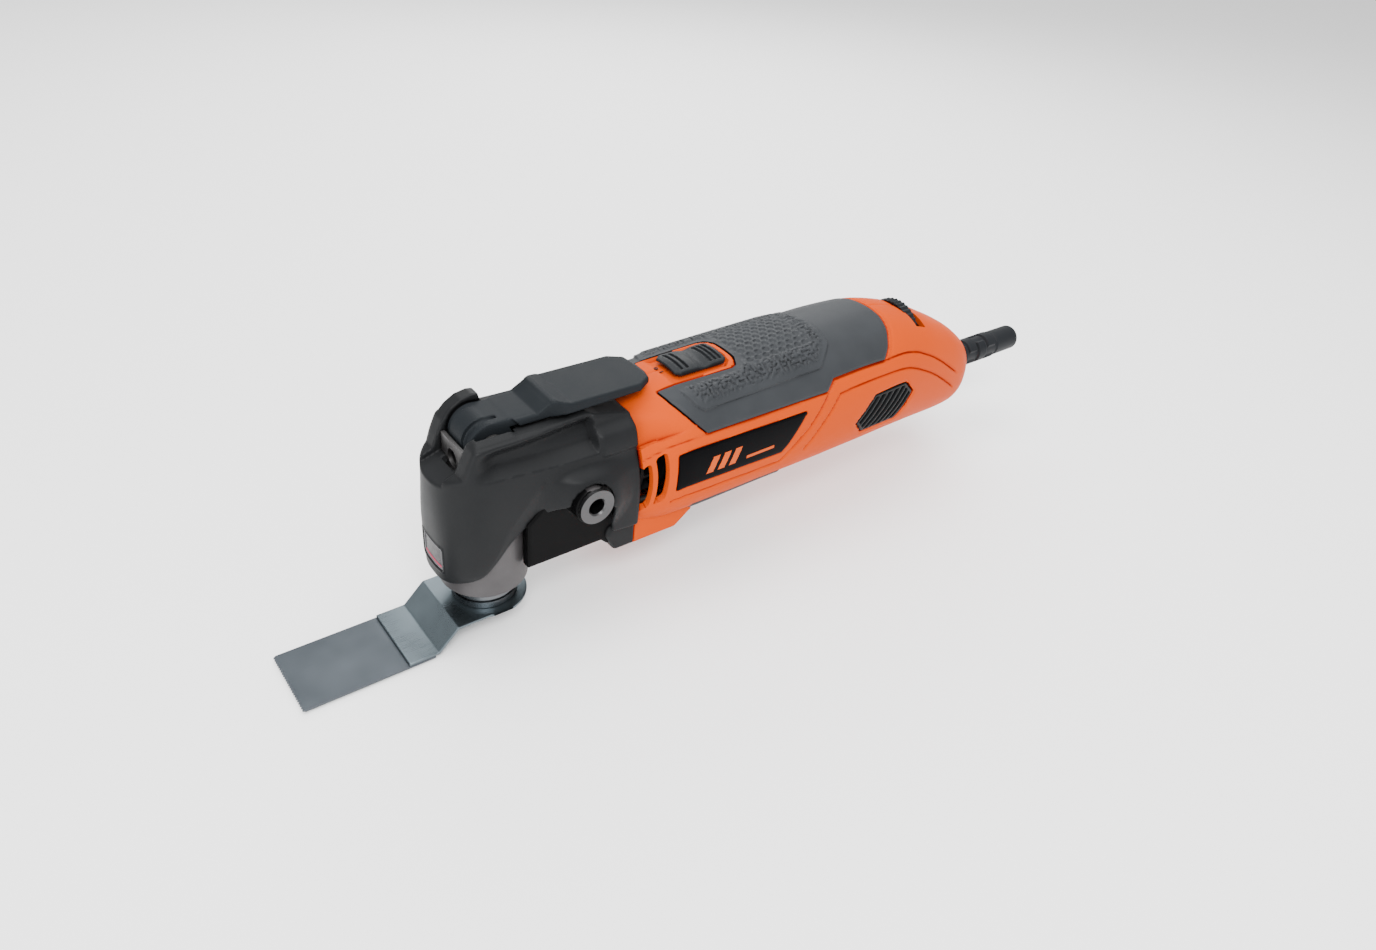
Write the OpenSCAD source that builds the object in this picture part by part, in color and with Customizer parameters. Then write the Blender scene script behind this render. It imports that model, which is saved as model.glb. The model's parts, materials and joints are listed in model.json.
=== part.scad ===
// Corded oscillating multi tool with a plunge saw blade.
// The origin is on the output spindle's axis, in the plane where the blade meets the drive flange.
// +X points to the cord, +Z up, and -Y is the tool's left side.

/* [Housing] */
// Wall thickness of the two housing halves
housing_wall = 2.6; // [2.2:0.1:3.0]
// Thickness of the rubber overmould, proud of the housing
grip_t = 0.8; // [0.6:0.1:1.0]
// Length of each exhaust slot, from low to high
exhaust_slot_h = 22; // [16:1:24]
// Radius of the bore that the mains lead passes through
cord_bore_r = 3.6; // [3.0:0.1:4.0]

/* [Head] */
// Wall thickness of the head cover
cover_wall = 1.8; // [1.4:0.1:2.0]
// Radius of the nose casting at its lower end
nose_r = 17.6; // [17.2:0.1:17.8]
// Core radius of the side handle's M8 thread
handle_core_r = 3.4; // [3.3:0.05:3.5]
// Thickness of the drive flange above the blade
flange_h = 8.6; // [7.5:0.1:9.0]

/* [Drive] */
// Offset of the eccentric from the motor shaft
eccentric_e = 0.7; // [0.5:0.05:0.8]
// Radius of the armature
armature_r = 14.9; // [14.0:0.1:15.0]
// Height of the motor shaft above the blade plane
motor_z = 48; // [47.5:0.1:48.5]
// Number of fan blades
fan_blades = 11; // [7:1:15]

/* [Blade] */
// Width of the plunge saw blade
blade_w = 32; // [28:1:35]
// Distance from the spindle to the tips of the teeth
blade_reach = 81.5; // [70:0.5:90]
// Number of teeth across the blade
tooth_count = 24; // [16:1:30]

/* [Hidden] */
$fn = 64;
fit_gap = 0.02;
run_gap = 0.05;

// Housing sections from front to rear: [x, half width, top, bottom]
HOUSING = [
    [58, 25.5, 74, 15.4], [64, 27.8, 76.4, 15.2], [72, 30, 78.6, 15.2], [80, 31, 79.4, 15.4],
    [98, 31.6, 79.8, 16], [129, 31.8, 80.4, 16.8], [154, 31.6, 81, 16.8], [176, 31.2, 81.8, 17],
    [196, 30.2, 81.4, 17], [221, 27.4, 76.2, 16.2], [245, 24, 65.6, 15.2], [256, 21.5, 59.6, 15],
    [262.5, 18.9, 55, 16], [267, 16, 51.4, 18.2], [270, 12.8, 48, 21.2], [271.5, 9.9, 44.8, 24.1],
    [272, 7.8, 42, 26.4]
];
housing_front = 58;
housing_rear = 272;
cavity_rear = 262;
squareness = 2.35;
housing_steps = [58, 61, 64, 68, 72, 76, 80, 88, 98, 112, 129, 142, 154, 166, 176, 187, 196, 208, 221,
    233, 245, 251, 256, 260, 264, 267, 269, 270.6, 271.5, 272];
cavity_steps = [57.5, 62, 68, 74, 80, 90, 112, 142, 166, 187, 208, 228, 245, 254, cavity_rear];
arc_steps = 20;

// Head cover outline, from the top centre down one side: at the spindle and at the rear edge
COVER_FRONT = [[0, 79], [11.6, 79], [16.2, 79], [18.2, 77.6], [18.8, 73], [19.3, 68.5], [20, 64.5],
    [20.4, 55], [20.3, 42], [20.1, 30], [19.6, 24], [17.5, 20], [0, 20]];
COVER_REAR = [[0, 74], [9, 73.7], [15.9, 71.8], [19, 69.8], [20.3, 67.6], [20.6, 64], [21.2, 60],
    [23.8, 53.6], [25.4, 42], [25.2, 30], [24.6, 22], [22, 15.4], [0, 15.4]];
cover_nose_x = -21.3;
cover_rear_x = 57.7;
cover_steps = [-21.3, -21, -20.2, -18.6, -16, -12, -7, 0, 8, 16, 26, 37, 41, 48, 57.7];
// The cover's lower edge on each side, as [x, z]
COVER_EDGE = [[-9, 20], [1, 34], [17, 47], [26, 49.5], [42, 44], [45.5, 27], [60, 26]];

lever_pin_x = 1.2;
lever_pin_z = 74;
lever_pin_r = 2.5;
lever_half_w = 8.6;
lever_hub_r = 9.2;
cam_r = 8.2;
cam_offset = [-1.5, 1.2];
cheek_r = 12;
handle_x = 33.8;
handle_z = 47.3;
handle_y = 30;
boot_z = 34.2;
rod_r = 3;
spindle_r = 6;
switch_travel = 6;
dial_x = 220.5;
dial_z = 62.8;
dial_r = 15.8;
gear_screw_y = 14.5;
gear_screw_z = 19.5;
// Screw posts that join the housing halves, as [x, z]
SCREW_POSTS = [[78, 22.6], [152, 23], [206, 23.5], [240, 57], [232, 21.6]];
post_r = 3.4;
// The two screws of the cord clamp
clamp_screw_x = 247;
CLAMP_SCREW_Z = [boot_z - 8.7, boot_z + 8.7];
clamp_seat_y = 3.7;

function slope_between(rows, c, i) = (rows[i + 1][c] - rows[i][c]) / (rows[i + 1][0] - rows[i][0]);
function smooth_slope(rows, c, i) =
    i == 0 ? slope_between(rows, c, 0)
    : i == len(rows) - 1 ? slope_between(rows, c, i - 1)
    : let(p = slope_between(rows, c, i - 1), q = slope_between(rows, c, i))
      p * q <= 0 ? 0 : 2 * p * q / (p + q);
function span_of(rows, x, i = 0) = i >= len(rows) - 2 || x < rows[i + 1][0] ? i : span_of(rows, x, i + 1);
// Value of column c at x, on a smooth curve through the rows
function along(rows, c, x) =
    let(i = span_of(rows, x), h = rows[i + 1][0] - rows[i][0], t = (x - rows[i][0]) / h)
    (2 * t ^ 3 - 3 * t ^ 2 + 1) * rows[i][c] + (t ^ 3 - 2 * t ^ 2 + t) * h * smooth_slope(rows, c, i)
    + (3 * t ^ 2 - 2 * t ^ 3) * rows[i + 1][c] + (t ^ 3 - t ^ 2) * h * smooth_slope(rows, c, i + 1);
function sgn_pow(v, p) = sign(v) * abs(v) ^ p;
// Point of the housing surface at x and angle a (0 is right, 90 is up), moved inwards by inset
function housing_point(x, a, inset = 0) =
    let(w = along(HOUSING, 1, x) - inset, top = along(HOUSING, 2, x) - inset,
        low = along(HOUSING, 3, x) + inset, p = 2 / squareness)
    [x, w * sgn_pow(cos(a), p), (top + low) / 2 + (top - low) / 2 * sgn_pow(sin(a), p)];
// Half width of the housing at x and height z
function housing_y(x, z) =
    let(w = along(HOUSING, 1, x), top = along(HOUSING, 2, x), low = along(HOUSING, 3, x))
    w * (1 - min(1, abs(z - (top + low) / 2) / ((top - low) / 2)) ^ squareness) ^ (1 / squareness);

function smoothstep(a, b, x) = let(t = min(1, max(0, (x - a) / (b - a)))) t * t * (3 - 2 * t);
// Width of the head cover's rounded front, from 0 at its tip to 1 at the spindle
function nose_width(x) = x >= 0 ? 1 : (max(0, 1 - (x / cover_nose_x) ^ 2.2)) ^ (1 / 2.2);
// How deep the finger channel in the cover's flank is at x
function channel_depth(x) = 3.6 * smoothstep(-12, 2, x) * (1 - smoothstep(37.5, 41.5, x));
function cover_point(x, i, inset = 0) =
    let(t = smoothstep(4, 52, x), p = COVER_FRONT[i] * (1 - t) + COVER_REAR[i] * t,
        dip = i == 4 ? channel_depth(x) : i == 5 ? channel_depth(x) * 0.8 : 0,
        front_drop = (1 - nose_width(x)) * 9,
        top_side = p[1] > 50 ? 1 : 0,
        thin = i == 2 || i == 3 ? 1.8 : 1,
        y = max(0, (p[0] - dip) * max(0.15, nose_width(x)) - inset * thin),
        z = p[1] - front_drop * top_side * (p[1] - 50) / 29)
    [x, y, i <= 3 ? z - inset : i >= 10 ? z + inset : z];

// Closed solid through equal rings of points. An end is one flat face, or with strip_ends a strip of
// triangles between the ring's first half and its second, which suits a bent skin
module loft(rings, strip_ends = false) {
    n = len(rings[0]);
    m = len(rings);
    last = (m - 1) * n;
    near_end = strip_ends
        ? [for (k = [0:n / 2 - 2]) each [[k, k + 1, n - 2 - k], [k, n - 2 - k, n - 1 - k]]]
        : [[for (k = [0:n - 1]) k]];
    polyhedron(
        points = [for (ring = rings) each ring],
        faces = concat(
            near_end,
            [for (j = [0:m - 2], k = [0:n - 1]) let(a = j * n + k, b = j * n + (k + 1) % n)
                each [[a, a + n, b + n], [a, b + n, b]]],
            [for (f = near_end) [for (k = [len(f) - 1:-1:0]) last + f[k]]]),
        convexity = 8);
}

module housing_loft(steps, inset = 0) {
    loft([for (x = steps) [for (k = [0:2 * arc_steps - 1]) housing_point(x, k * 180 / arc_steps, inset)]]);
}

// Right half (side = 1) or left half (side = -1) of the solid housing
module housing_half_loft(side) {
    loft([for (x = housing_steps)
        side > 0 ? [for (k = [0:arc_steps]) housing_point(x, k * 180 / arc_steps - 90)]
        : [for (k = [0:arc_steps]) housing_point(x, k * 180 / arc_steps + 90)]]);
}

// Skin on the housing over the rows [x, low angle, high angle], between two depths
module housing_skin(rows, inner, outer, steps) {
    loft([for (r = rows) concat(
        [for (k = [0:steps]) housing_point(r[0], r[1] + (r[2] - r[1]) * k / steps, inner)],
        [for (k = [steps:-1:0]) housing_point(r[0], r[1] + (r[2] - r[1]) * k / steps, outer)])],
        strip_ends = true);
}

module cover_loft(inset = 0, steps = cover_steps) {
    last = len(COVER_FRONT) - 1;
    loft([for (x = steps) concat(
        [for (i = [last:-1:0]) cover_point(x, i, inset)],
        [for (i = [1:last - 1]) let(q = cover_point(x, i, inset)) [q[0], -q[1], q[2]]])]);
}

module xcyl(r, x0, x1, y = 0, z = motor_z) {
    translate([x0, y, z]) rotate([0, 90, 0]) cylinder(r = r, h = x1 - x0);
}
module ycyl(r, y0, y1, x, z) {
    translate([x, y0, z]) rotate([-90, 0, 0]) cylinder(r = r, h = y1 - y0);
}
module zcyl(r, z0, z1, x = 0, y = 0) {
    translate([x, y, z0]) cylinder(r = r, h = z1 - z0);
}
module box(lo, hi) {
    translate(lo) cube(hi - lo);
}
// Outline in [x, z], extruded between two values of y
module side_prism(points, y0, y1) {
    translate([0, y1, 0]) rotate([90, 0, 0]) linear_extrude(y1 - y0) polygon(points);
}
// Puts a right-hand piece on the right (side = 1) or the left (side = -1)
module on_side(side) {
    mirror([0, side > 0 ? 0 : 1, 0]) children();
}
module both_sides() {
    children();
    mirror([0, 1, 0]) children();
}
// Tube wound as a helix about Z, with closed ends
module helix(mean_r, wire_r, z0, z1, turns, per_turn = 12, sides = 6) {
    count = turns * per_turn;
    rise = (z1 - z0 - 2 * wire_r) / count;
    loft([for (j = [0:count]) let(a = 360 * j / per_turn, z = z0 + wire_r + rise * j)
        [for (k = [0:sides - 1]) let(b = -360 * k / sides, r = mean_r + wire_r * cos(b))
            [r * cos(a), r * sin(a), z + wire_r * sin(b)]]]);
}

// Angle of the housing point at x whose height is z
function housing_angle(x, z) =
    let(top = along(HOUSING, 2, x), low = along(HOUSING, 3, x))
    asin(sgn_pow(min(1, max(-1, (2 * z - top - low) / (top - low))), squareness / 2));

// The same for an edge given as [x, z] points
function edge_angle(x, edge) = housing_angle(x, lookup(x, edge));

VENT = [[182.2, 53.8], [204.3, 53.6], [211.5, 46.5], [203.8, 32.4], [179.5, 33.3], [172.7, 41]];
vent_centre = [192.3, 43.4];
vent_tilt = 4;
vent_face_y = -29.2;

// Places a left-hand piece drawn with its outer face on y = 0 on the housing's tapering flank
module at_vent() {
    translate([vent_centre[0], vent_face_y, vent_centre[1]]) rotate([0, 0, vent_tilt]) children();
}
module vent_prism(size, depth_out, depth_in) {
    side_prism([for (p = VENT) (p - vent_centre) * size], -depth_out, depth_in);
}

// One half of the moulded housing; side is 1 for right and -1 for left
module housing_half(side) {
    foot = [[58, 13.4], [80, 13.4], [88, 20], [88, 25], [58, 25]];
    gear_boss_r = 3;
    difference() {
        union() {
            difference() {
                union() {
                    housing_half_loft(side);
                    on_side(side) side_prism(foot, 0, 21.5);
                }
                housing_loft(cavity_steps, housing_wall);
            }
            intersection() {
                on_side(side) {
                    for (p = SCREW_POSTS) ycyl(post_r, 0, 40, p[0], p[1]);
                    // Boss and web for each gearbox screw
                    for (dz = [-gear_screw_z, gear_screw_z]) {
                        xcyl(gear_boss_r, 58, 74, gear_screw_y, motor_z + dz);
                        box([60, gear_screw_y - 1, min(motor_z + dz, motor_z + dz * 2)],
                            [74, gear_screw_y + 1, max(motor_z + dz, motor_z + dz * 2)]);
                    }
                    // Bridge that holds the rear bearing's sleeve
                    box([149, 0, 42], [153, 40, 54]);
                    box([149, 0, 0], [153, 15, 73]);
                    // Bosses that the cord clamp sits on
                    if (side < 0)
                        for (z = CLAMP_SCREW_Z) ycyl(3.1, -clamp_seat_y, 40, clamp_screw_x, z);
                }
                housing_loft(cavity_steps, housing_wall / 2);
            }
        }
        // Rear bearing sleeve
        xcyl(11.5 + fit_gap, 148, 154);
        // Exhaust slots
        for (x = [57.9, 64])
            on_side(side)
                box([x, 18, 46.5 - exhaust_slot_h / 2], [x + 2.8, 40, 46.5 + exhaust_slot_h / 2]);
        // Intake vent
        on_side(-side) at_vent() vent_prism(1, 8, 9);
        // Mains lead's strain relief
        xcyl(5.3, 250, 268, 0, boot_z);
        xcyl(7.15, 266, 290, 0, boot_z);
        // Slide switch
        box([92 - switch_travel - 0.5, -3.5, 72], [98.5, 3.5, 90]);
        // Speed dial
        box([217.3, -15.6, 66], [223.7, 15.6, 90]);
        // Gearbox screws
        for (dz = [-gear_screw_z, gear_screw_z])
            xcyl(1.7, 50, 72, side * gear_screw_y, motor_z + dz);
        // Housing screws
        for (p = SCREW_POSTS) {
            if (side > 0) {
                ycyl(2.2, -1, 40, p[0], p[1]);
                ycyl(3.8, housing_y(p[0], p[1]) - 4, 40, p[0], p[1]);
            } else {
                ycyl(2, -12, 1, p[0], p[1]);
            }
        }
        if (side < 0)
            for (z = CLAMP_SCREW_Z) ycyl(1.62, -9, 4, clamp_screw_x, z);
    }
}

module housing_left() {
    color("orangered") housing_half(-1);
}
module housing_right() {
    color("orangered") housing_half(1);
}

grip_gap = 0.34;
label_t = 0.6;
// Lower edge of the top grip on each flank, as [x, z]
GRIP_EDGE = [[75, 75.6], [80.5, 69.8], [86.2, 63.7], [98, 63.8], [112, 63.9], [125, 64], [138, 64.1],
    [151.3, 64.2], [155.6, 68.6], [166, 68.7], [177, 68.7], [188, 68.8], [191.7, 72.5], [195, 76.4],
    [198.5, 80.2]];
GRIP_STEPS = [75, 76, 80, 82, 84, 86.2, 88, 98, 112, 129, 142, 151.3, 155.6, 166, 176, 187, 191.7,
    193, 194.5, 196, 198.5];
switch_bezel = [113.5, 12.6];

module grip_saddle() {
    color("dimgray")
        difference() {
            housing_skin(
                [for (x = GRIP_STEPS) let(a = edge_angle(x, GRIP_EDGE)) [x, a, 180 - a]],
                -grip_gap, -grip_t, 24);
            box([60, -switch_bezel[1], 60], [switch_bezel[0], switch_bezel[1], 90]);
        }
}
module grip_belly() {
    edge_z = 26.4;
    color("dimgray")
        housing_skin(
            [for (x = [89, 98, 112, 129, 134]) let(a = housing_angle(x, edge_z)) [x, 180 - a, 360 + a]],
            -grip_gap, -grip_t, 20);
}

// Name plate: lower and upper edge as [x, z]
LABEL_LOW = [[72.6, 41], [126.4, 42.5], [129.7, 46], [138.4, 57.6]];
LABEL_TOP = [[72.6, 56.8], [138.4, 58.1]];
LABEL_STEPS = [72.6, 76, 80, 88, 98, 112, 126.4, 129.7, 138.4];
module label_left() {
    color("black")
        housing_skin(
            [for (x = LABEL_STEPS) [x, 180 - edge_angle(x, LABEL_TOP), 180 - edge_angle(x, LABEL_LOW)]],
            -grip_gap, -label_t, 6);
}
module label_right() {
    color("black")
        housing_skin([for (x = LABEL_STEPS) [x, edge_angle(x, LABEL_LOW), edge_angle(x, LABEL_TOP)]],
            -grip_gap, -label_t, 6);
}

module vent_grille() {
    slot_pitch = 6.6;
    color("dimgray")
        at_vent() difference() {
            vent_prism(0.985, 0, 3.4);
            for (i = [-1.5:1:1.5])
                translate([i * slot_pitch, 0, 0]) rotate([0, 32, 0]) box([-1.3, -1, -7.6], [1.3, 5, 7.6]);
        }
}
module vent_grille_left() {
    vent_grille();
}
module vent_grille_right() {
    mirror([0, 1, 0]) vent_grille();
}

module strain_relief() {
    tip_x = 323;
    root_x = 266.2;
    root_r = 7;
    tip_r = 6.1;
    color("dimgray")
        translate([0, 0, boot_z]) rotate([0, 90, 0]) rotate_extrude()
            polygon([[cord_bore_r, 257.5], [8, 257.5], [8, 261.5], [5.2, 261.5], [5.2, root_x],
                [root_r, root_x], [6.9, 274.8], [6.3, 275.2], [6.3, 277], [6.85, 277.4], [6.8, 282],
                [6.2, 282.4], [6.2, 284.2], [6.7, 284.6], [6.65, 289],
                [6.1, 289.4], [6.1, 291.2], [6.6, 291.6], [6.5, 296], [6, 296.4], [6, 298.2],
                [6.4, 298.6], [tip_r, tip_x - 1.2], [tip_r - 1.2, tip_x], [cord_bore_r, tip_x]]);
}
module cord_clamp() {
    color("black")
        difference() {
            box([244, 3.75, 22.4], [250, 6.75, 46]);
            for (z = CLAMP_SCREW_Z) ycyl(1.75, 0, 10, clamp_screw_x, z);
        }
}
module cord_clamp_screws() {
    color("silver")
        for (z = CLAMP_SCREW_Z) {
            ycyl(1.6, -8, 6.8, clamp_screw_x, z);
            ycyl(2.8, 6.75, 8.6, clamp_screw_x, z);
        }
}
module housing_screws() {
    color("silver")
        for (p = SCREW_POSTS) {
            seat = housing_y(p[0], p[1]) - 4;
            difference() {
                union() {
                    ycyl(1.95, -11, seat + 0.1, p[0], p[1]);
                    ycyl(3.6, seat, seat + 2.6, p[0], p[1]);
                }
                box([p[0] - 2.2, seat + 1.4, p[1] - 0.4], [p[0] + 2.2, seat + 3, p[1] + 0.4]);
                box([p[0] - 0.4, seat + 1.4, p[1] - 2.2], [p[0] + 0.4, seat + 3, p[1] + 2.2]);
            }
        }
}

nose_top = 62;
// Radius of the gear housing's horizontal barrel
neck_r = 17.2;
upper_seat = 55.9;
socket_in = 16;
module gear_housing() {
    color("silver")
        difference() {
            union() {
                rotate_extrude() polygon([[0, 9.5], [nose_r - 0.6, 9.5], [nose_r, 10.2], [nose_r + 0.2, 34],
                    [nose_r + 0.2, nose_top], [0, nose_top]]);
                xcyl(neck_r, 9, 52);
                xcyl(21.8, 50, 56.5);
                for (sy = [-1, 1], dz = [-gear_screw_z, gear_screw_z])
                    xcyl(3.4, 50, 56.5, sy * gear_screw_y, motor_z + dz);
                ycyl(7.2, -28, 28, handle_x, handle_z);
            }
            // Spindle bearings and bore
            zcyl(14 + fit_gap, 0, 19.1);
            zcyl(13, 10, 52);
            zcyl(10.6, 50, 60);
            zcyl(12 + fit_gap, upper_seat, 70);
            // Fork chamber, then the front motor bearing
            xcyl(14, 0, 48.4);
            xcyl(9, 40, 60);
            xcyl(11 + fit_gap, 49.5, 60);
            for (sy = [-1, 1], dz = [-gear_screw_z, gear_screw_z])
                xcyl(1.8, 45, 60, sy * gear_screw_y, motor_z + dz);
            // Sockets of the handle inserts
            ycyl(6 + fit_gap, socket_in, 30, handle_x, handle_z);
            ycyl(6 + fit_gap, -30, -socket_in, handle_x, handle_z);
        }
}

gear_cover_x = 9.3;
module gear_cover() {
    outline = [[gear_cover_x, 20], [gear_cover_x, 40.3], [17, 46.6], [26, 49.1], [41.7, 43.7], [45.2, 26.6],
        [57.7, 25.6], [57.7, 15], [47, 15], [44.5, 20]];
    foot = [[44.5, 20], [47, 13.4], [57.7, 13.4], [57.7, 25.4], [45.4, 25.4]];
    collar_r = 8.3;
    color([0.08, 0.08, 0.09])
        difference() {
            union() {
                difference() {
                    side_prism(outline, -20, 20);
                    box([gear_cover_x + 1.8, -18.2, 21.8], [60, 18.2, 60]);
                }
                difference() {
                    side_prism(foot, -21.5, 21.5);
                    box([48, -19.6, 15.4], [60, 19.6, 30]);
                }
                both_sides() ycyl(collar_r, 18.3, 28.35, handle_x, handle_z);
            }
            zcyl(nose_r + 0.6, 0, 60);
            ycyl(7.2 + run_gap, -40, 40, handle_x, handle_z);
            xcyl(neck_r + 0.2, 5, 52);
            xcyl(22, 49.8, 60);
            for (sy = [-1, 1]) xcyl(3.6, 49.8, 60, sy * gear_screw_y, motor_z - gear_screw_z);
        }
}

module head_cover() {
    cheek = concat([for (a = [70:10:170]) [lever_pin_x + 11 * cos(a), lever_pin_z + 11 * sin(a)]],
        [[-15.5, 66], [5, 66]]);
    // The left cheek is cut off lower than the right one
    low_cheek = [for (p = cheek) [p[0], min(p[1], 80.6)]];
    color([0.2, 0.2, 0.21])
        difference() {
            union() {
                cover_loft();
                side_prism(cheek, 0, 15);
                side_prism(low_cheek, -15, 0.1);
            }
            // Inside
            cover_loft(cover_wall, [-19.4, -18, -16, -12, -7, 0, 8, 18, 30, 42, 60]);
            zcyl(nose_r + 0.4, 0, nose_top + run_gap);
            xcyl(neck_r + 0.4, 6, 60);
            for (sy = [-1, 1]) xcyl(3.5, 47, 60, sy * gear_screw_y, motor_z + gear_screw_z);
            ycyl(9.4, -13.2, 13.2, lever_pin_x, lever_pin_z);
            // Opening for the lever, between the cheeks
            box([-30, -8.8, 64], [11, 8.8, 90]);
            // Lower edge on both flanks
            side_prism(concat(COVER_EDGE, [[60, 0], [-9, 0]]), -40, 40);
            ycyl(8.6, -40, 40, handle_x, handle_z);
            // Light window
            box([-30, -7.4, 23.5], [-19, 7.4, 33.5]);
        }
}
module led_lens() {
    color("white")
        intersection() {
            difference() {
                zcyl(21, 23.7, 33.3, -0.2);
                zcyl(19.9, 20, 40, -0.2);
            }
            box([-25, -7.2, 20], [-15, 7.2, 40]);
        }
}
module led_board() {
    color("green") box([-19.1, -4.6, 24], [-18.2, 4.6, 33]);
    color("gold") for (y = [-2.4, 2.4]) xcyl(1.1, -19.5, -19.1, y, 28.5);
}

module handle_insert() {
    color("silver")
        difference() {
            union() {
                ycyl(6, socket_in, 28.5, handle_x, handle_z);
                ycyl(7.5, 28.4, handle_y, handle_x, handle_z);
            }
            ycyl(handle_core_r, 0, 40, handle_x, handle_z);
            translate([handle_x, handle_y + 0.01, handle_z]) rotate([90, 0, 0])
                cylinder(r1 = handle_core_r + 0.6, r2 = handle_core_r, h = 0.6);
        }
}
module handle_insert_left() {
    mirror([0, 1, 0]) handle_insert();
}
module handle_insert_right() {
    handle_insert();
}
module lever_pin() {
    color("silver") ycyl(lever_pin_r, -11.2, 11.2, lever_pin_x, lever_pin_z);
}
module lever_bracket() {
    lug_r = 5;
    lug_web = 4.8;
    color("gray")
        difference() {
            union() {
                box([-10.6, -11, 62.05], [8.6, 11, 63.6]);
                box([-10.6, -8.6, 62.05], [-9.1, 8.6, 74.4]);
                both_sides() {
                    ycyl(lug_r, 9, 11, lever_pin_x, lever_pin_z);
                    box([lever_pin_x - lug_web, 9, 62.05], [lever_pin_x + lug_web, 11, lever_pin_z]);
                }
            }
            zcyl(7, 60, 70);
            xcyl(3.6, -12, -8, 0, 67.6);
            ycyl(lever_pin_r + fit_gap, -20, 20, lever_pin_x, lever_pin_z);
        }
}

// Sealed ball bearing about Z, with shallow recesses between its rings
module bearing(r_out, r_in, h) {
    mid = (r_out + r_in) / 2;
    land = (r_out - r_in) * 0.28;
    difference() {
        cylinder(r = r_out, h = h);
        translate([0, 0, -1]) cylinder(r = r_in, h = h + 2);
        for (z = [-1, h - 0.5])
            translate([0, 0, z]) difference() {
                cylinder(r = mid + land, h = 1.5);
                translate([0, 0, -1]) cylinder(r = mid - land, h = 4);
            }
    }
}
module bearing_x(r_out, r_in, x0, x1) {
    translate([x0, 0, motor_z]) rotate([0, 90, 0]) bearing(r_out, r_in, x1 - x0);
}
module spindle_lower_bearing() {
    color("lightgray") translate([0, 0, 11]) bearing(14, spindle_r + fit_gap, 8);
}
module spindle_upper_bearing() {
    color("lightgray") translate([0, 0, upper_seat]) bearing(12, spindle_r + fit_gap, 6);
}
module spindle_seal() {
    color("saddlebrown")
        difference() {
            zcyl(13.98, 9.8, 10.95);
            zcyl(7.6, 0, 20);
        }
}
module gearbox_screws() {
    color("silver")
        for (sy = [-1, 1], dz = [-gear_screw_z, gear_screw_z]) {
            xcyl(1.65, 49.9, 70, sy * gear_screw_y, motor_z + dz);
            xcyl(2.9, 47.4, 50, sy * gear_screw_y, motor_z + dz);
        }
}

stator_x = [84, 122];
stator_r = 25.5;
stator_bore = 15.4;
// Ring sector about the motor axis, between two angles measured from +Y towards +Z
module motor_sector(r0, r1, a0, a1, x0, x1) {
    step = 6;
    translate([x0, 0, motor_z]) rotate([90, 0, 90]) linear_extrude(x1 - x0)
        polygon(concat([for (a = [a0:step:a1]) r1 * [cos(a), sin(a)]],
            [for (a = [a1:-step:a0]) r0 * [cos(a), sin(a)]]));
}
module stator_core() {
    color("gray")
        difference() {
            xcyl(stator_r, stator_x[0], stator_x[1]);
            xcyl(stator_bore, 80, 130);
            for (side = [0, 180]) motor_sector(15, 21.6, side - 42, side + 42, 80, 130);
        }
}
module field_coils() {
    color("darkorange")
        for (pole = [90, 270]) {
            for (a = [pole - 72, pole + 54])
                motor_sector(15.8, 21.2, a, a + 18, stator_x[0] - 6, stator_x[1] + 6);
            for (x = [stator_x[0] - 6, stator_x[1] + 0.1])
                motor_sector(15.8, 21.2, pole - 72, pole + 72, x, x + 5.9);
        }
}
module air_baffle() {
    color("black")
        difference() {
            xcyl(21, 71.5, 73);
            xcyl(15, 70, 75);
        }
}

brush_x = 135.5;
module brush_holder() {
    color("goldenrod")
        difference() {
            box([brush_x - 4.6, 12.2, motor_z - 5.6], [brush_x + 4.6, 28, motor_z + 5.6]);
            box([brush_x - 3.1, 10, motor_z - 4.1], [brush_x + 3.1, 27, motor_z + 4.1]);
        }
}
module carbon_brush() {
    color([0.15, 0.15, 0.15])
        box([brush_x - 3, 10.56, motor_z - 4], [brush_x + 3, 22, motor_z + 4]);
}
module brush_holder_left() {
    mirror([0, 1, 0]) brush_holder();
}
module brush_holder_right() {
    brush_holder();
}
module carbon_brush_left() {
    mirror([0, 1, 0]) carbon_brush();
}
module carbon_brush_right() {
    carbon_brush();
}
module brush_springs() {
    color("silver")
        both_sides() translate([brush_x, 0, motor_z]) rotate([-90, 0, 0])
            helix(2.4, 0.35, 22.05, 26.95, 4, 10);
}
module motor_front_bearing() {
    color("lightgray") bearing_x(11, 4 + fit_gap, 49.5, 56.5);
}
module motor_rear_bearing() {
    color("lightgray") bearing_x(9.5, 3.5 + fit_gap, 148, 154);
}
module rear_bearing_sleeve() {
    color([0.1, 0.1, 0.1])
        difference() {
            xcyl(11.5, 148.2, 153.8);
            xcyl(9.5 + fit_gap, 140, 160);
        }
}
module switch_unit() {
    color([0.15, 0.15, 0.16])
        difference() {
            box([160, -8, 58], [188, 8, 74]);
            box([160 + 2, -3.8, 71.4], [173, 3.8, 75]);
        }
}
module speed_board() {
    color("green") box([228, -14, 40], [229.6, 14, 65]);
    color("dimgray")
        difference() {
            xcyl(7, 223.7, 228.1, 0, dial_z);
            xcyl(3 + run_gap, 220, 226.8, 0, dial_z);
        }
}
module wiring() {
    color("sienna")
        for (y = [-1.7, 1.7]) {
            xcyl(1.2, 190.5, 256, y, boot_z);
            zcyl(1.2, boot_z - 1.2, 57.95, 191.7 - 2 * abs(y), y);
            xcyl(1.2, 187.1, 191, y, boot_z);
        }
}

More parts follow.
